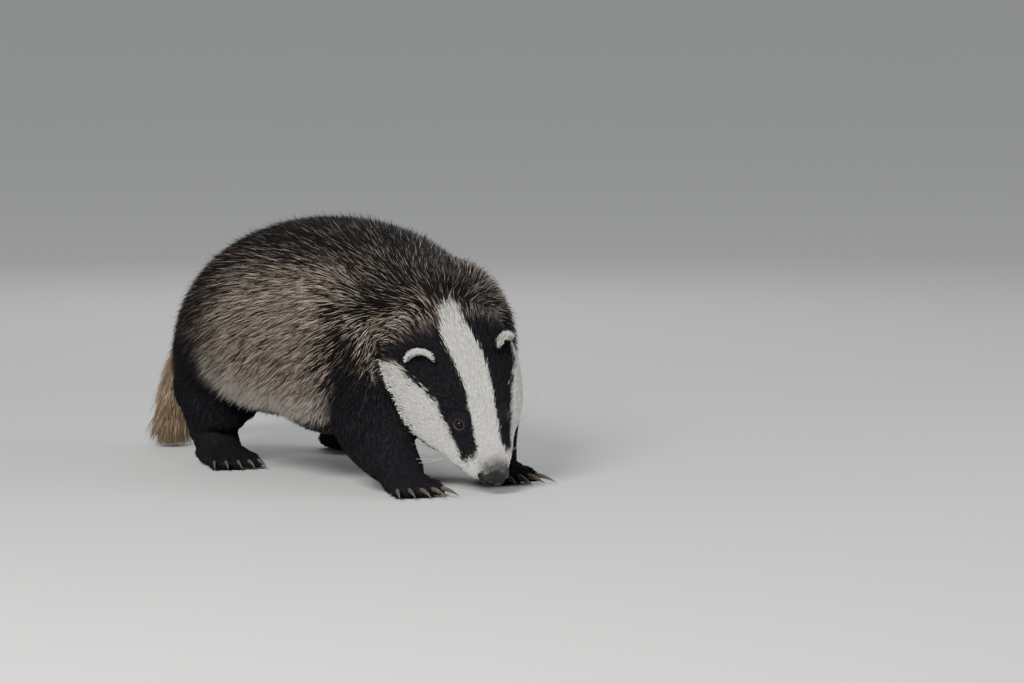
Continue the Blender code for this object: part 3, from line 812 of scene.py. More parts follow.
def build_skin():
    skin = evened_skin()
    shape = bmesh.new()
    shape.from_mesh(skin.data)
    set_on_floor(shape)
    refine_head(shape)
    for side in (1, -1):
        shape_lids(shape, side)
    shape_mouth(shape)
    add_ears(shape)
    loose = [face for face in shape.faces if len(face.verts) > 4]
    bmesh.ops.triangulate(shape, faces=loose)
    shape.normal_update()
    shape.to_mesh(skin.data)
    shape.free()
    skin.data.shade_smooth()
    unwrap(skin)
    return skin


# Markings, the same for the skin and the coat

# Lowest light hair of the flank: along the body, height
HEM = ((-0.157, 0.050), (-0.111, 0.051), (0.0, 0.064), (0.04, 0.088), (0.08, 0.120),
       (0.14, 0.132), (0.22, 0.136))
# Lines of the face by distance forward, in head millimetres: the central stripe's half
# width and middle, the outer side of the black bands, and the lower side of the cheeks
STRIPE = ((-42, 3), (-32, 7), (-18, 10.5), (-6, 13), (5, 15), (22, 14.6), (38, 13.4),
          (50, 12.6), (66, 13), (82, 12.6), (95, 12.2), (103, 14.5))
STRIPE_CENTRE = ((-40, 9), (-24, 1.5), (-9, -1.6), (5, 0.5), (22, 1.5), (38, 3), (66, 3),
                 (90, 1.8))
BAND = ((-30, 60), (3, 56.5), (19, 54), (36, 45), (47, 39.5), (60, 35.5), (82, 29.5), (104, 25))
CHEEK = ((-26, -7), (-10, -8), (18, -10), (31, -16), (42, -20), (56, -24), (72, -28), (89, -33),
         (104, -40))
# Where the other marks of the face start and end to show, in head millimetres
STRIPE_END = (-44, -33)
CHEEK_END = (-15, -7)
MUZZLE_BACK, MUZZLE_LOW = (101, 106), (-40, -33)
SMUDGE_BACK, SMUDGE_WIDTH, SMUDGE_LOW = (99, 121), (19, 11), (-26, -17)
BLACK_BACK = (-32, -6)
THROAT_TOP, THROAT_BACK = (-6, -16), (-70, -50)


def along_row(values, row):
    places, heights = zip(*row)
    return np.interp(values, places, heights)


def face_marks(points):
    """White and black of the face at each point."""
    forward, left, up = in_head(points).T
    uneven = ripple(points, 9 * MM, 3)
    forward = forward + 2.5 * uneven
    left = left + 0.7 * ripple(points, 7 * MM, 5)
    from_stripe = np.abs(left - along_row(forward, STRIPE_CENTRE))
    stripe = ramp(from_stripe - along_row(forward, STRIPE), 1.2, -1.2)
    stripe *= ramp(forward, *STRIPE_END)
    outside = np.abs(left) - along_row(forward, BAND)
    cheek = ramp(outside, -1.2, 1.2) * ramp(up - along_row(forward, CHEEK), -1.5, 2.0)
    cheek *= ramp(forward - 1.1 * up, *CHEEK_END)
    muzzle = ramp(forward, *MUZZLE_BACK) * ramp(up, *MUZZLE_LOW)
    white = np.maximum(np.maximum(stripe, cheek), muzzle)
    smudge = ramp(forward, *SMUDGE_BACK) * ramp(np.abs(left - 1), *SMUDGE_WIDTH)
    white *= 1 - 0.88 * smudge * ramp(up, *SMUDGE_LOW)
    throat = ramp(up, *THROAT_TOP) * ramp(forward, *THROAT_BACK)
    black = (1 - white) * np.maximum(ramp(forward, *BLACK_BACK), throat)
    return white, black


def near_eye(points, reach=7.3):
    """1 on the bare rim of an eye, and 0 further than the reach from its centre, in mm."""
    rim = np.zeros(len(points))
    for side in (1, -1):
        centre = np.array(eye_frame(side)[0])
        away = np.linalg.norm(points - centre, axis=1) / MM
        rim = np.maximum(rim, ramp(away, reach, reach - 1.1))
    return rim


# Where the coat's tone starts and ends to change, in metres, at the roots of the hair
HEM_TO_ROOTS = 0.019
HEM_EDGE = (0.004, -0.006)
HAUNCH_BLUR = 0.014
FORELEG_REAR = -0.166
FORELEG_EDGE = (0.008, -0.008)
CHEST_TOP = (0.150, 0.125)
LEG_TOP = (0.125, 0.105)
FRINGE_HEIGHT = 0.045
FRINGE_FRONT = (0.0, 0.03)
FRINGE_REAR = (0.07, 0.0)
# Darker over the top of the back and the neck's crest: partly the coat's own darker hair, partly
# painted shade on the top
DARK_BACK = (0.182, 0.234)
CREST_WIDTH = (0.092, 0.040)
CREST_REAR = (-0.045, -0.095)
CREST_HEIGHT = (0.155, 0.185)
NECK_REAR = (-0.132, -0.175)
NECK_HEIGHT = (0.075, 0.120)
DARK_RUMP = (-0.02, 0.085)
DARK_HAUNCH = (0.0, 0.065)
HAUNCH_HEIGHT = 0.085
# Painted shadow line behind each shoulder, where the hair parts from the foreleg: how far out,
# its edge, rear and top
SHADE_LINE_OUT = 0.080
SHADE_LINE_EDGE = (0.016, 0.004)
SHADE_LINE_REAR = (-0.135, -0.155)
SHADE_LINE_TOP = (0.190, 0.165)
EAR_RIM = (1.64, 1.76)


def body_light(points, hem, arm):
    """How pale the body's hair is at each point, with painted shade in it over the top and
    behind the shoulders, and how white the fringe over its hem.
    """
    x, y, z = points.T
    fringe = ramp(z, hem + FRINGE_HEIGHT, hem) * ramp(arm, *FRINGE_FRONT) * ramp(y, *FRINGE_REAR)
    # Darker over the top of the back and the neck's crest: partly the coat's own darker hair,
    # partly painted shade on the top
    crest = ramp(np.abs(x), *CREST_WIDTH) * ramp(y, *CREST_REAR) * ramp(z, *CREST_HEIGHT)
    back = np.maximum(ramp(z, *DARK_BACK), 0.80 * crest)
    neck = ramp(y, *NECK_REAR) * ramp(z, *NECK_HEIGHT)
    haunch = ramp(y, *DARK_HAUNCH) * ramp(z, hem + HAUNCH_HEIGHT, hem)
    rump = np.maximum(ramp(y, *DARK_RUMP), haunch)
    # Painted shade: a dark line behind each shoulder
    shoulder_shade_line = ramp(np.abs(np.abs(x) - SHADE_LINE_OUT), *SHADE_LINE_EDGE)
    shoulder_shade_line *= ramp(y, *SHADE_LINE_REAR) * ramp(z, *SHADE_LINE_TOP)
    light = 0.82 + 0.18 * fringe - 0.82 * back - 0.24 * neck * (1 - 0.9 * back)
    light -= (0.70 * rump + 0.55 * shoulder_shade_line) * (1 - back)
    light += 0.07 * ripple(points, 0.06, 11)
    return light, fringe


def marks(points, shares):
    """Shares of white, black, buff and light in the coat at each point."""
    _, y, z = points.T
    white, black = face_marks(points)
    forward = in_head(points)[:, 0]
    patterned = ramp(shares["head"] + ramp(forward, -60, -30) * shares["body"], 0.3, 0.6)
    reach = np.abs(in_head(points)[:, 1]) < 80
    white, black = white * patterned * reach, black * reach * (shares["head"] + shares["body"])
    black *= np.maximum(shares["head"], ramp(in_head(points)[:, 2], *THROAT_TOP))
    ragged = 6 * MM * ripple(points, 0.03, 8)
    hem = along_row(y, HEM) + HEM_TO_ROOTS
    soft = HAUNCH_BLUR * ramp(y, 0.02, 0.08)
    under = ramp(z + ragged, hem + HEM_EDGE[0] + soft, hem + HEM_EDGE[1] - soft)
    arm = y + 0.5 * ragged - FORELEG_REAR
    chest = ramp(arm, *FORELEG_EDGE) * ramp(z + ragged, *CHEST_TOP)
    legs = shares["leg"] * ramp(z, *LEG_TOP)
    dark = np.maximum(under, chest) * shares["body"] + legs
    dark = np.clip(dark / np.maximum(1 - shares["head"], 0.2), 0, 1)
    black = np.clip(np.maximum(black, dark * (1 - white)), 0, 1)
    buff = shares["tail"] * (1 - white) * (1 - black)
    light, fringe = body_light(points, hem, arm)
    white = np.maximum(white, 0.5 * fringe * (1 - black) * (shares["body"] > 0.5))
    ear = shares["ear"]
    on_ear = ear > 0.5
    rim = ramp(ear + 0.07 * ripple(points, 4 * MM, 17), *EAR_RIM)
    white = np.where(on_ear, rim, white)
    black = np.where(on_ear, 1 - rim, black)
    return white, black, buff, np.clip(light, 0.03, 1)


# Brightness of each kind of hair at the root, a third along, two thirds along and the tip; the
# darker roots of white, buff and pale hair are painted shade deep in the coat, and the black
# hair's bright tips are painted sheen
WHITE_STAGES = (0.66, 0.84, 1.0, 1.05)
BLACK_STAGES = (0.8, 1.0, 1.2, 2.4)
BUFF_STAGES = (0.30, 0.60, 1.0, 1.35)
PALE_STAGES = (0.14, 0.36, 0.58, 1.36)
DARK_STAGES = (1.0, 1.0, 1.0, 1.5)


def hair_colours(found, stage, luck):
    """Colour of each tuft at one of its four stages; luck draws pale or dark hair."""
    white, black, buff, light = (values[:, None] for values in found)
    pale = luck[:, :1] < 0.08 + 0.77 * light
    tone = (0.48 + 0.52 * light) * (0.50 + 0.50 * luck[:, 1:2])
    grey = np.where(pale, PALE_HAIR * PALE_STAGES[stage] * tone, DARK_HAIR * DARK_STAGES[stage])
    rest = np.clip(1 - white - black - buff, 0, 1)
    mixed = WHITE_HAIR * WHITE_STAGES[stage] * white
    mixed = mixed + BLACK_HAIR * BLACK_STAGES[stage] * black
    mixed = mixed + BUFF_HAIR * BUFF_STAGES[stage] * buff
    return mixed + grey * rest


def skin_colours(points, shares):
    """Colour of the skin's own short fur, darker where long hair shades it."""
    found = marks(points, shares)
    white, black, buff, light = (values[:, None] for values in found)
    rest = np.clip(1 - white - black - buff, 0, 1)
    colour = WHITE_HAIR * 0.80 * white + BLACK_HAIR * black + BUFF_HAIR * 0.45 * buff
    colour = colour + (DARK_HAIR + 0.26 * light**2 * PALE_HAIR) * rest
    # Painted shade: the skin is darkened where the head's share mixes with the neck's, so the
    # bare strip between their coats looks shaded
    neck_crease_shade = 4 * shares["head"] * (1 - shares["head"])
    colour *= 1 - 0.9 * ramp(neck_crease_shade, 0.1, 0.7)[:, None]
    rim = near_eye(points)[:, None]
    return colour * (1 - rim) + LID_SKIN * rim


# The lie of the coat

def coat_runs(points, normals, shares):
    """The way the coat lies at each point of the skin."""
    x, _, z = points.T
    ones = np.ones(len(points))
    height = (z - WIDEST_HEIGHT) / (BACK_HEIGHT - WIDEST_HEIGHT)
    body = np.stack((0.35 * x / TRUNK_HALF_WIDTH, 0.9 * ones, -0.8 + 0.4 * height), 1)
    tail = np.array((-0.15, 0.20, -1.0)) * ones[:, None]
    leg = np.array((0.0, 0.30, -1.0)) * ones[:, None]
    paw = np.array((0.0, -1.0, -0.45)) * ones[:, None]
    on_paw = ramp(z, 0.055, 0.018)[:, None]
    leg = leg * (1 - on_paw) + paw * on_paw
    _, left, _ = in_head(points).T
    local = np.stack((-ones, 0.45 * left / 60, -0.45 * np.abs(left) / 60), 1)
    head = local @ HEAD_AXES.T
    total = head * shares["head"][:, None] + body * shares["body"][:, None]
    total = total + tail * shares["tail"][:, None] + leg * shares["leg"][:, None]
    return flat_on(total, normals)


def comb_ears(points, normals, runs, ear):
    """Ear hair lies outward over the cup and stands out past its rim."""
    left = in_head(points)[:, 1]
    for side in (1, -1):
        place = ear_frame(side)
        middle, axis = np.array(place.translation), np.array(place.to_3x3().col[0])
        own = (ear > 0.5) & (left * side > 0)
        facing = np.where(normals[own] @ axis > 0, 1.0, -1.0)[:, None]
        normals[own] = axis * facing
        outward = unit(points[own] - middle)
        runs[own] = unit(outward + 0.35 * axis)


# Length, width and rise of the tufts in millimetres and their number on a square
# millimetre: each part's own, and what the place on it adds
HEAD_HAIR = (8.5, 0.60, 1.9, 0.68)
TO_MUZZLE = (-4.7, -0.14, -1.0, 0.38)
TO_RUFF = (12, 0.25, 2.4, -0.32)
BODY_HAIR = (27, 0.76, 11.5, 0.376)
TO_FRONT = (-4, -0.02, -2.5, 0.05)
TO_BELLY = (-14, 0, -8.5, -0.18)
TAIL_HAIR = (40, 0.95, 9, 0.38)
TO_TAIL_TIP = (14, 0, 7, 0.20)
LEG_HAIR = (16, 1.00, 3.0, 0.155)
TO_PAW = (-10, -0.30, -1.8, 0.14)
EAR_HAIR = (3.2, 0.42, 1.3, 1.8)
EAR_FRINGE = 3.0
# How far from the eye's centre the hair is shorter, in millimetres, and by what share
SHORT_ROUND_EYE = (11, 0.55)


def sized(own, *changes):
    """A row of tuft measures for each point, from its own row and its changes."""
    total = np.array(own)
    for share, change in changes:
        total = total + share[:, None] * np.array(change)
    return total


def coat_sizes(points, shares):
    """Length, width and rise of the tufts, and how many grow on a square millimetre."""
    forward = in_head(points)[:, 0]
    y, z = points[:, 1], points[:, 2]
    muzzle, ruff = ramp(forward, 40, 96), ramp(forward, 28, -30)
    front = ramp(y, -0.06, -0.13)
    belly = ramp(z - 0.022 * ramp(y, 0.02, 0.06), 0.090, 0.045)
    head = sized(HEAD_HAIR, (muzzle, TO_MUZZLE), (ruff, TO_RUFF))
    body = sized(BODY_HAIR, (front, TO_FRONT), (belly, TO_BELLY))
    tail = sized(TAIL_HAIR, (ramp(z, 0.120, 0.050), TO_TAIL_TIP))
    leg = sized(LEG_HAIR, (ramp(z, 0.105, 0.040), TO_PAW))
    total = head * shares["head"][:, None] + body * shares["body"][:, None]
    total = total + tail * shares["tail"][:, None] + leg * shares["leg"][:, None]
    on_ear = shares["ear"] > 0.5
    total[on_ear] = EAR_HAIR
    total[on_ear, 0] += EAR_FRINGE * ramp(shares["ear"][on_ear], 1.6, 1.8)
    reach, shorter = SHORT_ROUND_EYE
    total[:, 3] *= 1 - near_eye(points)
    total[:, :3] *= 1 - shorter * near_eye(points, reach)[:, None]
    total[:, 3] *= ramp(forward, 126, 121) * (z > 0.0015)
    return total


# Tufts

# Shares of a tuft's length, width and rise at each of its stages, the last being its tip,
# which of the four tones of hair each stage takes, and the least share of the rise
WHISKER = {
    "shares": (0.0, 0.34, 0.70, 1.0),
    "widths": (0.70, 1.0, 0.72),
    "rises": (0.0, 0.0, 0.0, 0.0),
}
GUARD_TUFT = {
    "shares": (0.0, 0.58, 1.0),
    "widths": (0.70, 1.0),
    "rises": (-0.08, 0.46, 1.0),
    "stages": (0, 2, 3),
    "lowest": 0.40,
}
SHORT_TUFT = {
    "shares": (0.0, 0.50, 1.0),
    "widths": (0.80, 1.0),
    "rises": (-0.08, 0.62, 1.0),
    "stages": (0, 2, 3),
    "lowest": 0.55,
}


class Skin:
    """The finished skin's points, triangles, places on its map and coat measures."""

    def __init__(self, mesh):
        self.points = coordinates(mesh)
        normals = np.empty(len(mesh.vertices) * 3)
        mesh.vertices.foreach_get("normal", normals)
        self.normals = normals.reshape(-1, 3)
        self.shares = {name: numbers_of(mesh, name) for name in (*PARTS, "ear")}
        mesh.calc_loop_triangles()
        count = len(mesh.loop_triangles)
        corners, loops = np.empty(count * 3, np.int32), np.empty(count * 3, np.int32)
        mesh.loop_triangles.foreach_get("vertices", corners)
        mesh.loop_triangles.foreach_get("loops", loops)
        self.triangles = corners.reshape(-1, 3)
        self.loops = loops.reshape(-1, 3)
        flat = np.empty(len(mesh.loops) * 2)
        mesh.uv_layers["OFBake"].data.foreach_get("uv", flat)
        self.map = flat.reshape(-1, 2)
        a, b, c = (self.points[self.triangles[:, k]] for k in range(3))
        self.areas = np.linalg.norm(np.cross(b - a, c - a), axis=1) / 2 / MM**2
        runs = coat_runs(self.points, self.normals, self.shares)
        self.runs = flat_on(evened(runs, edges_of(mesh), 8), self.normals)
        comb_ears(self.points, self.normals, self.runs, self.shares["ear"])
        self.sizes = coat_sizes(self.points, self.shares)

    def at(self, values, chosen, weights):
        """Values of the skin's points, mixed at places on the chosen triangles."""
        corners = values[self.triangles[chosen]]
        if values.ndim == 1:
            return (corners * weights).sum(1)
        return (corners * weights[:, :, None]).sum(1)

    def spread(self, belongs, chance):
        """Random places on the skin, as many as the coat's density asks there."""
        density = self.sizes[self.triangles, 3].mean(1) * belongs[self.triangles].mean(1)
        wanted = density * self.areas
        total = int(wanted.sum())
        chosen = chance.choice(len(wanted), size=total, p=wanted / wanted.sum())
        first, second = chance.random(total) ** 0.5, chance.random(total)
        weights = np.stack((1 - first, first * (1 - second), first * second), 1)
        return chosen, weights


def laid_along(shares, tree, runs, roots, normals, lengths, sways):
    """Follows the skin from each root: the places and normals at the shares of a tuft."""
    places = np.empty((len(roots), len(shares), 3))
    outs = np.empty_like(places)
    find = tree.find_nearest
    for i, (root, normal) in enumerate(zip(roots, normals)):
        spot, normal = Vector(root), Vector(normal)
        index = find(spot)[2]
        run = runs[index]
        for k, share in enumerate(shares):
            if k:
                step = (share - shares[k - 1]) * lengths[i]
                free = spot + run * step
                surface, below, index, _ = find(free)
                cling = min(1.0, max(0.0, 1 + 2.2 * below.z))
                spot = free.lerp(surface, cling)
                normal = normal.lerp(below, cling).normalized()
                run = run.lerp(runs[index], 0.6 * cling)
            run = run - normal * run.dot(normal)
            run = (run + normal.cross(run) * sways[i]).normalized()
            places[i, k], outs[i, k] = spot, normal
    return places, outs


def straight_along(runs, roots, normals, lengths, sways):
    """Short tufts lie straight on from their roots."""
    runs = unit(runs + np.cross(normals, runs) * sways[:, None])
    shares = np.array(SHORT_TUFT["shares"])[None, :, None]
    places = roots[:, None] + runs[:, None] * lengths[:, None, None] * shares
    return places, np.repeat(normals[:, None], places.shape[1], axis=1)


def gathered(places, kind, pull, spacing, chance):
    """Draws neighbouring tufts together towards their tips, as hair clings in locks."""
    roots = places[:, 0]
    count = max(1, int(len(roots) / spacing))
    leaders = chance.choice(len(roots), size=count, replace=False)
    tree = KDTree(count)
    for number, leader in enumerate(leaders):
        tree.insert(roots[leader], number)
    tree.balance()
    own = np.array([leaders[tree.find(root)[1]] for root in roots])
    shares = (np.array(kind["shares"]) ** 1.6)[None, :, None]
    return places + (places[own] - places) * pull * shares


def tuft_corners(kind, places, outs, widths, rises, depth):
    """Three corners at each stage of a tuft, and its tip."""
    levels = np.array(kind["rises"])[None, :, None] * rises[:, None, None]
    lines = places + outs * levels
    lines[:, :, 2] = np.maximum(lines[:, :, 2], FLOOR_CLEARANCE)
    ahead = unit(np.gradient(lines, axis=1))
    across = unit(np.cross(outs, ahead))
    upward = np.cross(ahead, across)
    rings = len(kind["widths"])
    spread = np.array(kind["widths"])[None, :, None] * widths[:, None, None] / 2
    middle, side = lines[:, :rings], across[:, :rings] * spread
    up = upward[:, :rings] * spread * depth
    stages = np.stack((middle + side - up, middle - side - up, middle + up), 2)
    corners = np.concatenate((stages.reshape(-1, 3 * rings, 3), lines[:, rings:]), 1)
    corners[:, :, 2] = np.maximum(corners[:, :, 2], FLOOR_CLEARANCE / 4)
    return corners


def tuft_faces(rings):
    """Corner numbers of one tuft's faces: the root, the bands between stages, the tip."""
    faces = [(2, 1, 0)]
    for start in range(0, 3 * rings - 3, 3):
        for k in range(3):
            ahead = (k + 1) % 3
            faces.append((start + k, start + ahead, start + 3 + ahead, start + 3 + k))
    last = 3 * rings - 3
    return faces + [(last + k, last + (k + 1) % 3, 3 * rings) for k in range(3)]


def tuft_mesh(name, corners, colours, places_on_map):
    """One mesh of many closed tufts, with their colours and their patches of the map."""
    count, points = corners.shape[:2]
    rings = points // 3
    faces = tuft_faces(rings)
    pattern = np.concatenate([np.array(face) for face in faces])
    sizes = np.array([len(face) for face in faces])
    loops = (np.arange(count)[:, None] * points + pattern).ravel()
    starts = np.concatenate(([0], np.cumsum(np.tile(sizes, count))[:-1]))
    mesh = bpy.data.meshes.new(name)
    mesh.vertices.add(count * points)
    mesh.vertices.foreach_set("co", corners.astype(np.float32).ravel())
    mesh.loops.add(len(loops))
    mesh.polygons.add(len(starts))
    mesh.polygons.foreach_set("loop_start", starts.astype(np.int32))
    mesh.polygons.foreach_set("vertices", loops.astype(np.int32))
    tint = mesh.attributes.new("tint", "FLOAT_COLOR", "POINT")
    stage_of_corner = np.arange(points) // 3
    shown = np.ones((count, points, 4), np.float32)
    shown[:, :, :3] = np.clip(colours[:, stage_of_corner], 0, 1)
    tint.data.foreach_set("color", shown.ravel())
    sideways = np.tile((-0.5, 0.5, 0.0), rings + 1)[:points]
    sideways[-1] = 0
    patch = np.stack((sideways, stage_of_corner / rings - 0.5), 1) * PATCH
    spots = (places_on_map[:, None] + patch[None]).reshape(-1, 2)
    layer = mesh.uv_layers.new(name="OFBake")
    layer.data.foreach_set("uv", spots[loops].astype(np.float32).ravel())
    mesh.update(calc_edges=True)
    mesh.shade_smooth()
    return mesh


# Share of the tufts that stand up higher than the rest, and how much higher
HIGH_TUFTS = (0.08, 1.45)


def varied(sizes, shares, heights, kind, chance):
    """Length, width, rise and sway of each tuft, none of them quite alike."""
    count = len(sizes)
    lengths = sizes[:, 0] * MM * chance.uniform(0.72, 1.18, count)
    lengths *= 1 - 0.35 * shares["leg"] * chance.random(count)
    widths = sizes[:, 1] * MM * chance.uniform(0.65, 1.25, count)
    rises = sizes[:, 2] * MM * chance.uniform(kind["lowest"], 1.0, count)
    often, higher = HIGH_TUFTS
    rises *= np.where(chance.random(count) < often, higher, 1.0)
    sways = chance.normal(0, 0.11, count)
    above = heights * chance.uniform(0.80, 1.25, count)
    lengths = np.where(shares["tail"] > 0.5, np.minimum(lengths, above), lengths)
    return lengths, widths, rises, sways


def grow(skin, belongs, kind, seed, pull, spacing):
    """Covers part of the skin in tufts. Returns their corners, colours and map places."""
    chance = np.random.default_rng(seed)
    chosen, weights = skin.spread(belongs, chance)
    roots = skin.at(skin.points, chosen, weights)
    normals = unit(skin.at(skin.normals, chosen, weights))
    runs = unit(skin.at(skin.runs, chosen, weights))
    sizes = skin.at(skin.sizes, chosen, weights)
    shares = {name: skin.at(v, chosen, weights) for name, v in skin.shares.items()}
    lengths, widths, rises, sways = varied(sizes, shares, roots[:, 2], kind, chance)
    if kind is not SHORT_TUFT:
        tree = BVHTree.FromPolygons(skin.points.tolist(), skin.triangles.tolist())
        ways = [Vector(run) for run in unit(skin.runs[skin.triangles].mean(1))]
        places, outs = laid_along(kind["shares"], tree, ways, roots, normals, lengths, sways)
    else:
        places, outs = straight_along(runs, roots, normals, lengths, sways)
    places = gathered(places, kind, pull, spacing, chance)
    corners = tuft_corners(kind, places, outs, widths, rises, 0.38)
    blur = (1.1 + 3.5 * shares["body"][:, None]) * MM
    found = marks(roots + chance.normal(0, 1, roots.shape) * blur, shares)
    bright = chance.uniform(0.70, 1.20, (len(roots), 1, 1))
    luck = chance.random((len(roots), 2))
    stages = [hair_colours(found, stage, luck) for stage in kind["stages"]]
    calm = found[0][:, None, None]
    colours = np.stack(stages, 1) * (bright * (1 - calm) + (0.45 + 0.5 * bright) * calm)
    rows = skin.map[skin.loops[chosen]]
    return corners, colours, (rows * weights[:, :, None]).sum(1)


def coat_piece(name, grown, chosen, material, slot):
    corners, colours, spots = (values[chosen] for values in grown)
    piece = placed(name, tuft_mesh(name, corners, colours, spots))
    set_in_place(piece, material, slot)


def in_bands(label, grown, material, slot):
    """Coat pieces in bands from front to back, each small enough for one mesh."""
    order = np.argsort(grown[0][:, 0, 1], kind="stable")
    triangles = 2 * grown[0].shape[1] - 4
    bands = math.ceil(len(order) * triangles / PIECE_TRIANGLES)
    for number, chosen in enumerate(np.array_split(order, bands), 1):
        name = label if bands == 1 else f"{label}_{number}"
        coat_piece(name, grown, chosen, material, slot)


# Surface detail shared by the materials

def add_sockets(group, inputs, outputs):
    for name, kind, value in inputs:
        socket = group.interface.new_socket(name=name, in_out="INPUT", socket_type=kind)
        socket.default_value = value
    for name, kind in outputs:
        group.interface.new_socket(name=name, in_out="OUTPUT", socket_type=kind)
    return group.nodes.new("NodeGroupInput"), group.nodes.new("NodeGroupOutput")


def hair_grain_group():
    """Uneven tone and fine relief of hair, on the object's own coordinates."""
    group = bpy.data.node_groups.new("hair_grain", "ShaderNodeTree")
    inputs = (
        ("Tint", "NodeSocketColor", (0.5, 0.5, 0.5, 1)),
        ("Fineness", "NodeSocketFloat", 400.0),
        ("Contrast", "NodeSocketFloat", 0.3),
    )
    outputs = (("Color", "NodeSocketColor"), ("Height", "NodeSocketFloat"))
    given, result = add_sockets(group, inputs, outputs)
    nodes, links = group.nodes, group.links
    place = nodes.new("ShaderNodeTexCoord")
    noise = nodes.new("ShaderNodeTexNoise")
    noise.inputs["Detail"].default_value = 3
    links.new(place.outputs["Object"], noise.inputs["Vector"])
    links.new(given.outputs["Fineness"], noise.inputs["Scale"])
    spread = nodes.new("ShaderNodeMapRange")
    spread.inputs["From Min"].default_value = 0.3
    spread.inputs["From Max"].default_value = 0.7
    links.new(noise.outputs["Fac"], spread.inputs["Value"])
    shade = nodes.new("ShaderNodeMix")
    shade.data_type = "RGBA"
    shade.blend_type = "MULTIPLY"
    links.new(given.outputs["Contrast"], shade.inputs["Factor"])
    links.new(given.outputs["Tint"], shade.inputs["A"])
    links.new(spread.outputs["Result"], shade.inputs["B"])
    links.new(shade.outputs["Result"], result.inputs["Color"])
    links.new(noise.outputs["Fac"], result.inputs["Height"])
    return group


def new_material(name, roughness):
    material = bpy.data.materials.new(name)
    material.use_nodes = True
    shader = material.node_tree.nodes["Principled BSDF"]
    shader.inputs["Roughness"].default_value = roughness
    return material, material.node_tree.nodes, material.node_tree.links, shader


# Fineness and contrast of the grain, depth in millimetres and strength of its relief,
# roughness, and shine
FINISHES = {
    "short_fur": (700, 0.55, 0.6, 0.6, 0.8, 0.12),
    "hair": (260, 0.25, 0.15, 0.6, 0.55, 0.08),
    "eye_glass": (1500, 0.4, 0.002, 0.6, 0.06, 0.2),
    "nose_leather": (1100, 0.5, 0.4, 0.6, 0.27, 0.22),
    "horn": (300, 0.5, 0.1, 0.7, 0.42, 0.5),
}
HORN_COLOUR = (0.095, 0.078, 0.062, 1)


def finish(name, group, colour=None):
    """A finish with the shared grain, of one colour or of the tint that its mesh carries."""
    fineness, contrast, relief, strength, roughness, shine = FINISHES[name]
    material, nodes, links, shader = new_material(name, roughness)
    shader.inputs["Specular IOR Level"].default_value = shine
    grain = nodes.new("ShaderNodeGroup")
    grain.node_tree = group
    grain.inputs["Fineness"].default_value = fineness
    grain.inputs["Contrast"].default_value = contrast
    if colour:
        grain.inputs["Tint"].default_value = colour
    else:
        tint = nodes.new("ShaderNodeAttribute")
        tint.attribute_name = "tint"
        links.new(tint.outputs["Color"], grain.inputs["Tint"])
    links.new(grain.outputs["Color"], shader.inputs["Base Color"])
    bump = nodes.new("ShaderNodeBump")
    bump.inputs["Strength"].default_value = strength
    bump.inputs["Distance"].default_value = relief * MM
    links.new(grain.outputs["Height"], bump.inputs["Height"])
    links.new(bump.outputs["Normal"], shader.inputs["Normal"])
    return material


# Eyes, nose pad, claws and whiskers

def eye_tone(facing):
    """A black pupil in a dark brown iris, by how far a point faces along the gaze."""
    iris = float(ramp(facing, 0.66, 0.74)) * float(ramp(facing, 0.92, 0.88))
    return [0.003 + 0.010 * iris, 0.002 + 0.005 * iris, 0.002 + 0.002 * iris, 1]


def build_eyes(material):
    for side, label in ((1, "left"), (-1, "right")):
        centre, gaze, along, across = eye_frame(side)
        shape = bmesh.new()
        bmesh.ops.create_uvsphere(shape, u_segments=48, v_segments=48, radius=1)
        tint = shape.verts.layers.float_color.new("tint")
        for vertex in shape.verts:
            vertex[tint] = eye_tone(vertex.co.z)
            cornea = 0.07 * float(ramp(vertex.co.z, 0.70, 0.97))
            vertex.co *= EYE_RADIUS * (1 + cornea)
        turn = Matrix((along, across, gaze)).transposed().to_4x4()
        place = Matrix.Translation(centre) @ turn
        bmesh.ops.transform(shape, matrix=place, verts=shape.verts)
        eye = object_of(f"eyeball_{label}", shape)
        eye.data.shade_smooth()
        set_in_place(eye, material, "eye", [f"eye_{label}"])


# Nostrils on a pad of radius 1: how far out, how high, radius; and the slit beside each:
# how far out, how far below the nostril, half length, half height
NOSTRIL_OUT, NOSTRIL_HEIGHT, NOSTRIL_RADIUS = 0.44, 0.26, 0.22
SLIT_OUT, SLIT_DROP, SLIT_LENGTH, SLIT_HEIGHT = 0.74, 0.24, 0.26, 0.085


def from_nostril(spot, radius):
    """How far a point of the pad is from the nearer nostril, in its radii."""
    return math.hypot((abs(spot.y) - NOSTRIL_OUT) / radius, (spot.z - NOSTRIL_HEIGHT) / radius)


def nose_point(spot):
    """A point of the round pad, moved for its nostrils, their rims and the groove between."""
    x, y, z = spot
    hole = from_nostril(spot, NOSTRIL_RADIUS)
    level = NOSTRIL_HEIGHT - SLIT_DROP
    slit = math.hypot((abs(y) - SLIT_OUT) / SLIT_LENGTH, (z - level) / SLIT_HEIGHT)
    sink = 0.42 * math.exp(-(hole**4)) + hump(slit, 0.24, 1)
    sink -= hump(hole - 1.55, 0.05, 0.40)
    sink += hump(y, 0.10, 0.08) * float(ramp(z, 0.45, -0.15))
    front = float(ramp(x, 0.05, 0.35))
    narrow = 1 - 0.16 * float(ramp(z, 0.2, -1.0))
    return Vector((x, y * narrow, z)) * (1 - sink * front)


def nose_tone(spot):
    """Bare and black in front, drier and greyer at the top; the nostrils are painted darkest, as
    shade in their hollows.
    """
    dry = float(ramp(spot.z - 0.7 * spot.x, -0.35, 0.60))
    # Painted shade: the inside of each nostril is darkened
    out_of_nostril_shade = float(ramp(from_nostril(spot, 0.30), 0.6, 1.2)) if spot.x > 0 else 1.0
    tone = (0.0025 + 0.0035 * out_of_nostril_shade + 0.010 * dry) * out_of_nostril_shade + 0.0015
    return [tone, tone * 0.94, tone * 0.98, 1]


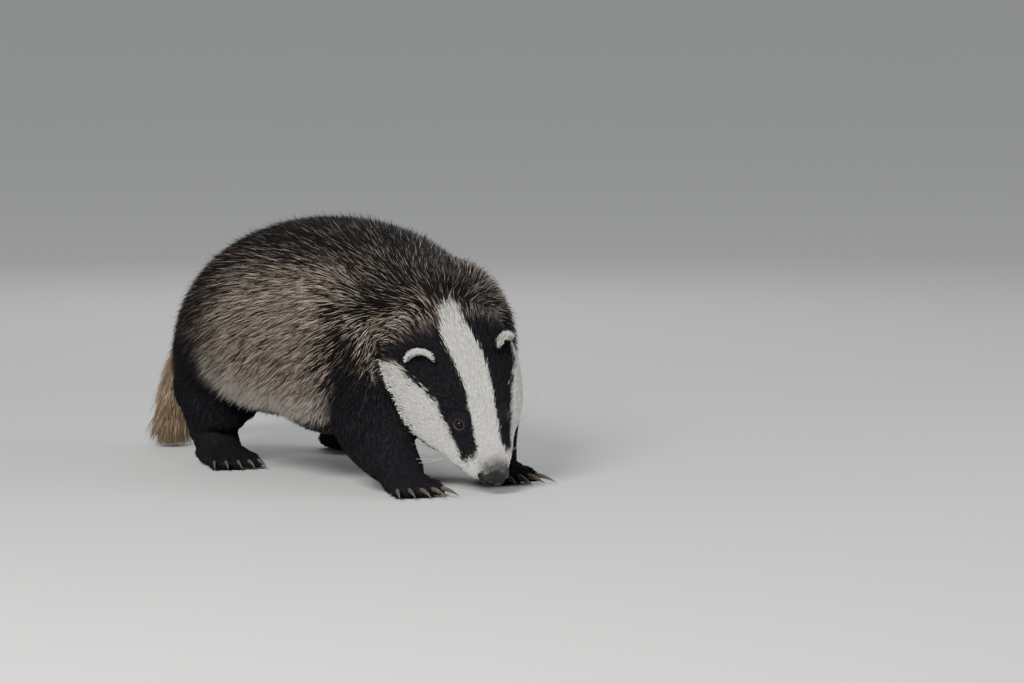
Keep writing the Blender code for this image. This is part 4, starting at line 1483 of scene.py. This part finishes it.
def build_nose(material):
    """The bare pad, with a comma-shaped nostril sunk in each side."""
    centre, radii, droop = NOSE_PAD
    shape = rounded((0, 0, 0), (1, 1, 1), segments=112)
    tint = shape.verts.layers.float_color.new("tint")
    for vertex in shape.verts:
        vertex[tint] = nose_tone(vertex.co)
        vertex.co = nose_point(vertex.co)
    pitch = Matrix.Rotation(math.radians(droop), 3, "Y")
    place = Matrix.LocRotScale(Vector(centre) * MM, pitch, Vector(radii) * MM)
    bmesh.ops.transform(shape, matrix=HEAD @ place, verts=shape.verts)
    pad = object_of("nose", shape)
    pad.data.shade_smooth()
    set_in_place(pad, material, "nose_skin", ["nose_pad"])


# Along a claw: share of its length, share of its radius, height in millimetres
CLAW_STATIONS = (
    (-0.25, 1.0, 0.0),
    (0.2, 1.0, 0.9),
    (0.65, 0.62, -1.0),
    (1.0, 0.12, -4.4),
)
CLAW_NARROWNESS = 0.72


def claw_shape(name, degrees):
    """A curved, tapering claw that points forward and down."""
    _, ball, length, _ = paw_of(name)
    turn = math.radians(degrees)
    ahead = Vector((math.cos(turn), math.sin(turn), 0))
    side = Vector((-ahead.y, ahead.x, 0))
    base = toe_tip(ball, degrees) + Vector((0.001, 0, 0.0075))
    sections = []
    for share, radius, height in eased_rows(CLAW_STATIONS, 5):
        centre = base + ahead * length * share + Vector((0, 0, height * MM))
        up = Vector((0, 0, CLAW_RADIUS * radius))
        sections.append((centre, side * CLAW_RADIUS * CLAW_NARROWNESS * radius, up, up))
    reach = ahead * 0.3 * MM
    return form_through(with_domes(sections, -reach, reach), 14, paw_frame(name))


def build_claws(material):
    shape = bmesh.new()
    for name in LEG_JOINTS:
        for degrees in toe_angles():
            add_shape(shape, claw_shape(name, degrees))
    claws = object_of("claws", shape)
    claws.data.shade_smooth()
    set_in_place(claws, material, "fur_buff")


# Rows of whiskers: distances forward and levels on the head, in millimetres
WHISKER_FORWARDS = (86, 93, 100)
WHISKER_LEVELS = (-21, -25, -29)
WHISKER_WAY = Vector((-0.25, 1.0, -0.05))
WHISKER_BEND = (-0.7, 0.1, -0.45)
WHISKER_LENGTH = 40 * MM
WHISKER_WIDTH = 0.32 * MM


def whisker_line(tree, side, forward, level, chance):
    """The stages of one whisker, from the skin outward, and the skin's direction there."""
    inside = Vector((forward, 0, level)) + Vector(chance.normal(0, 1.2, 3))
    way = WHISKER_WAY + Vector(chance.normal(0, 0.15, 3))
    out = head_direction(way, side).normalized()
    root, normal, *_ = tree.ray_cast(HEAD @ (inside * MM), out)
    bend = head_direction(WHISKER_BEND, side)
    reach = WHISKER_LENGTH * chance.uniform(0.75, 1.15)
    stages = WHISKER["shares"]
    line = [list(root + out * reach * t + bend * reach * 0.5 * t * t) for t in stages]
    return line, [list(normal)] * len(stages)


def build_whiskers(material):
    """Stiff pale hairs on the sides of the muzzle."""
    chance = np.random.default_rng(23)
    head = head_forms()
    tree = BVHTree.FromBMesh(head)
    head.free()
    lines = []
    for side in (1, -1):
        for forward in WHISKER_FORWARDS:
            for level in WHISKER_LEVELS:
                lines.append(whisker_line(tree, side, forward, level, chance))
    places, outs = (np.array(rows) for rows in zip(*lines))
    count = len(lines)
    widths, rises = np.full(count, WHISKER_WIDTH), np.zeros(count)
    corners = tuft_corners(WHISKER, places, outs, widths, rises, 0.9)
    colours = np.tile(WHITE_HAIR * 0.6, (count, places.shape[1], 1))
    piece = placed("whiskers", tuft_mesh("whiskers", corners, colours, np.full((count, 2), 0.5)))
    set_in_place(piece, material, "fur_white")


# Studio

def build_floor():
    shape = bmesh.new()
    bmesh.ops.create_grid(shape, x_segments=1, y_segments=1, size=FLOOR_SIZE)
    floor = object_of("floor", shape)
    material, _, _, shader = new_material("floor_paint", 0.85)
    shader.inputs["Base Color"].default_value = FLOOR_COLOUR
    floor.data.materials.append(material)


def build_lights():
    for name, (spot, size, power, colour) in LAMPS.items():
        lamp = bpy.data.lights.new(name, "AREA")
        lamp.shape = "DISK"
        lamp.size = size
        lamp.energy = power
        lamp.color = colour
        light = placed(name, lamp)
        light.location = spot
        away = Vector(spot) - Vector(LAMP_AIM)
        light.rotation_euler = away.to_track_quat("Z", "Y").to_euler()
    world = bpy.data.worlds.new("studio")
    world.use_nodes = True
    backdrop = world.node_tree.nodes["Background"]
    backdrop.inputs["Color"].default_value = SKY_COLOUR
    backdrop.inputs["Strength"].default_value = SKY_STRENGTH
    bpy.context.scene.world = world


def build_camera():
    """The photo's viewing angle: a long lens, low, from the animal's front right."""
    turn, rise = math.radians(CAMERA_TURN), math.radians(CAMERA_RISE)
    right = Vector((math.cos(turn), math.sin(turn), 0))
    level = Vector((math.sin(turn), -math.cos(turn), 0))
    back = level * math.cos(rise) + Vector((0, 0, math.sin(rise)))
    target = Vector((0, 0, CAMERA_TARGET_HEIGHT)) + right * CAMERA_TARGET_RIGHT + SHIFT
    lens = bpy.data.cameras.new("camera")
    lens.lens = CAMERA_LENS
    lens.sensor_width = 36
    lens.clip_end = 2.5 * FLOOR_SIZE
    camera = placed("camera", lens)
    camera.location = target + back * CAMERA_AWAY
    camera.rotation_euler = back.to_track_quat("Z", "Y").to_euler()
    bpy.context.scene.camera = camera


FLESH = ("head", "neck", "torso", "tail", "ear_left", "ear_right")
LIMBS = tuple(f"{end}_{part}_{side}" for end in ("front", "hind")
              for part in ("leg", "paw") for side in ("left", "right"))


def tint_skin(mesh, skin):
    colours = np.ones((len(skin.points), 4), np.float32)
    colours[:, :3] = np.clip(skin_colours(skin.points, skin.shares), 0, 1)
    tint = mesh.attributes.new("tint", "FLOAT_COLOR", "POINT")
    tint.data.foreach_set("color", colours.ravel())


# Coats: part of the skin, kind of tuft, seed, how far and how many tufts draw together
COATS = {
    "coat_body": ("body", GUARD_TUFT, 41, 0.16, 5, "fur_grey"),
    "coat_tail": ("tail", GUARD_TUFT, 42, 0.16, 5, "fur_buff"),
    "coat_head": ("head", SHORT_TUFT, 43, 0.12, 5, "fur_white"),
    "coat_legs": ("leg", SHORT_TUFT, 44, 0.30, 6, "fur_black"),
    "coat_ears": ("ear", SHORT_TUFT, 45, 0.15, 5, "fur_black"),
}


def build_coat(skin, material):
    ears = (skin.shares["ear"] > 0.5).astype(float)
    for label, (part, kind, seed, pull, spacing, slot) in COATS.items():
        belongs = ears if part == "ear" else skin.shares[part] * (1 - ears)
        grown = grow(skin, belongs, kind, seed, pull, spacing)
        in_bands(label, grown, material, slot)


def main():
    build_camera()
    build_floor()
    build_lights()
    grain = hair_grain_group()
    body = build_skin()
    skin = Skin(body.data)
    tint_skin(body.data, skin)
    set_in_place(body, finish("short_fur", grain), "fur_grey", FLESH + LIMBS)
    hair = finish("hair", grain)
    build_coat(skin, hair)
    build_eyes(finish("eye_glass", grain))
    build_nose(finish("nose_leather", grain))
    build_claws(finish("horn", grain, HORN_COLOUR))
    build_whiskers(hair)


main()
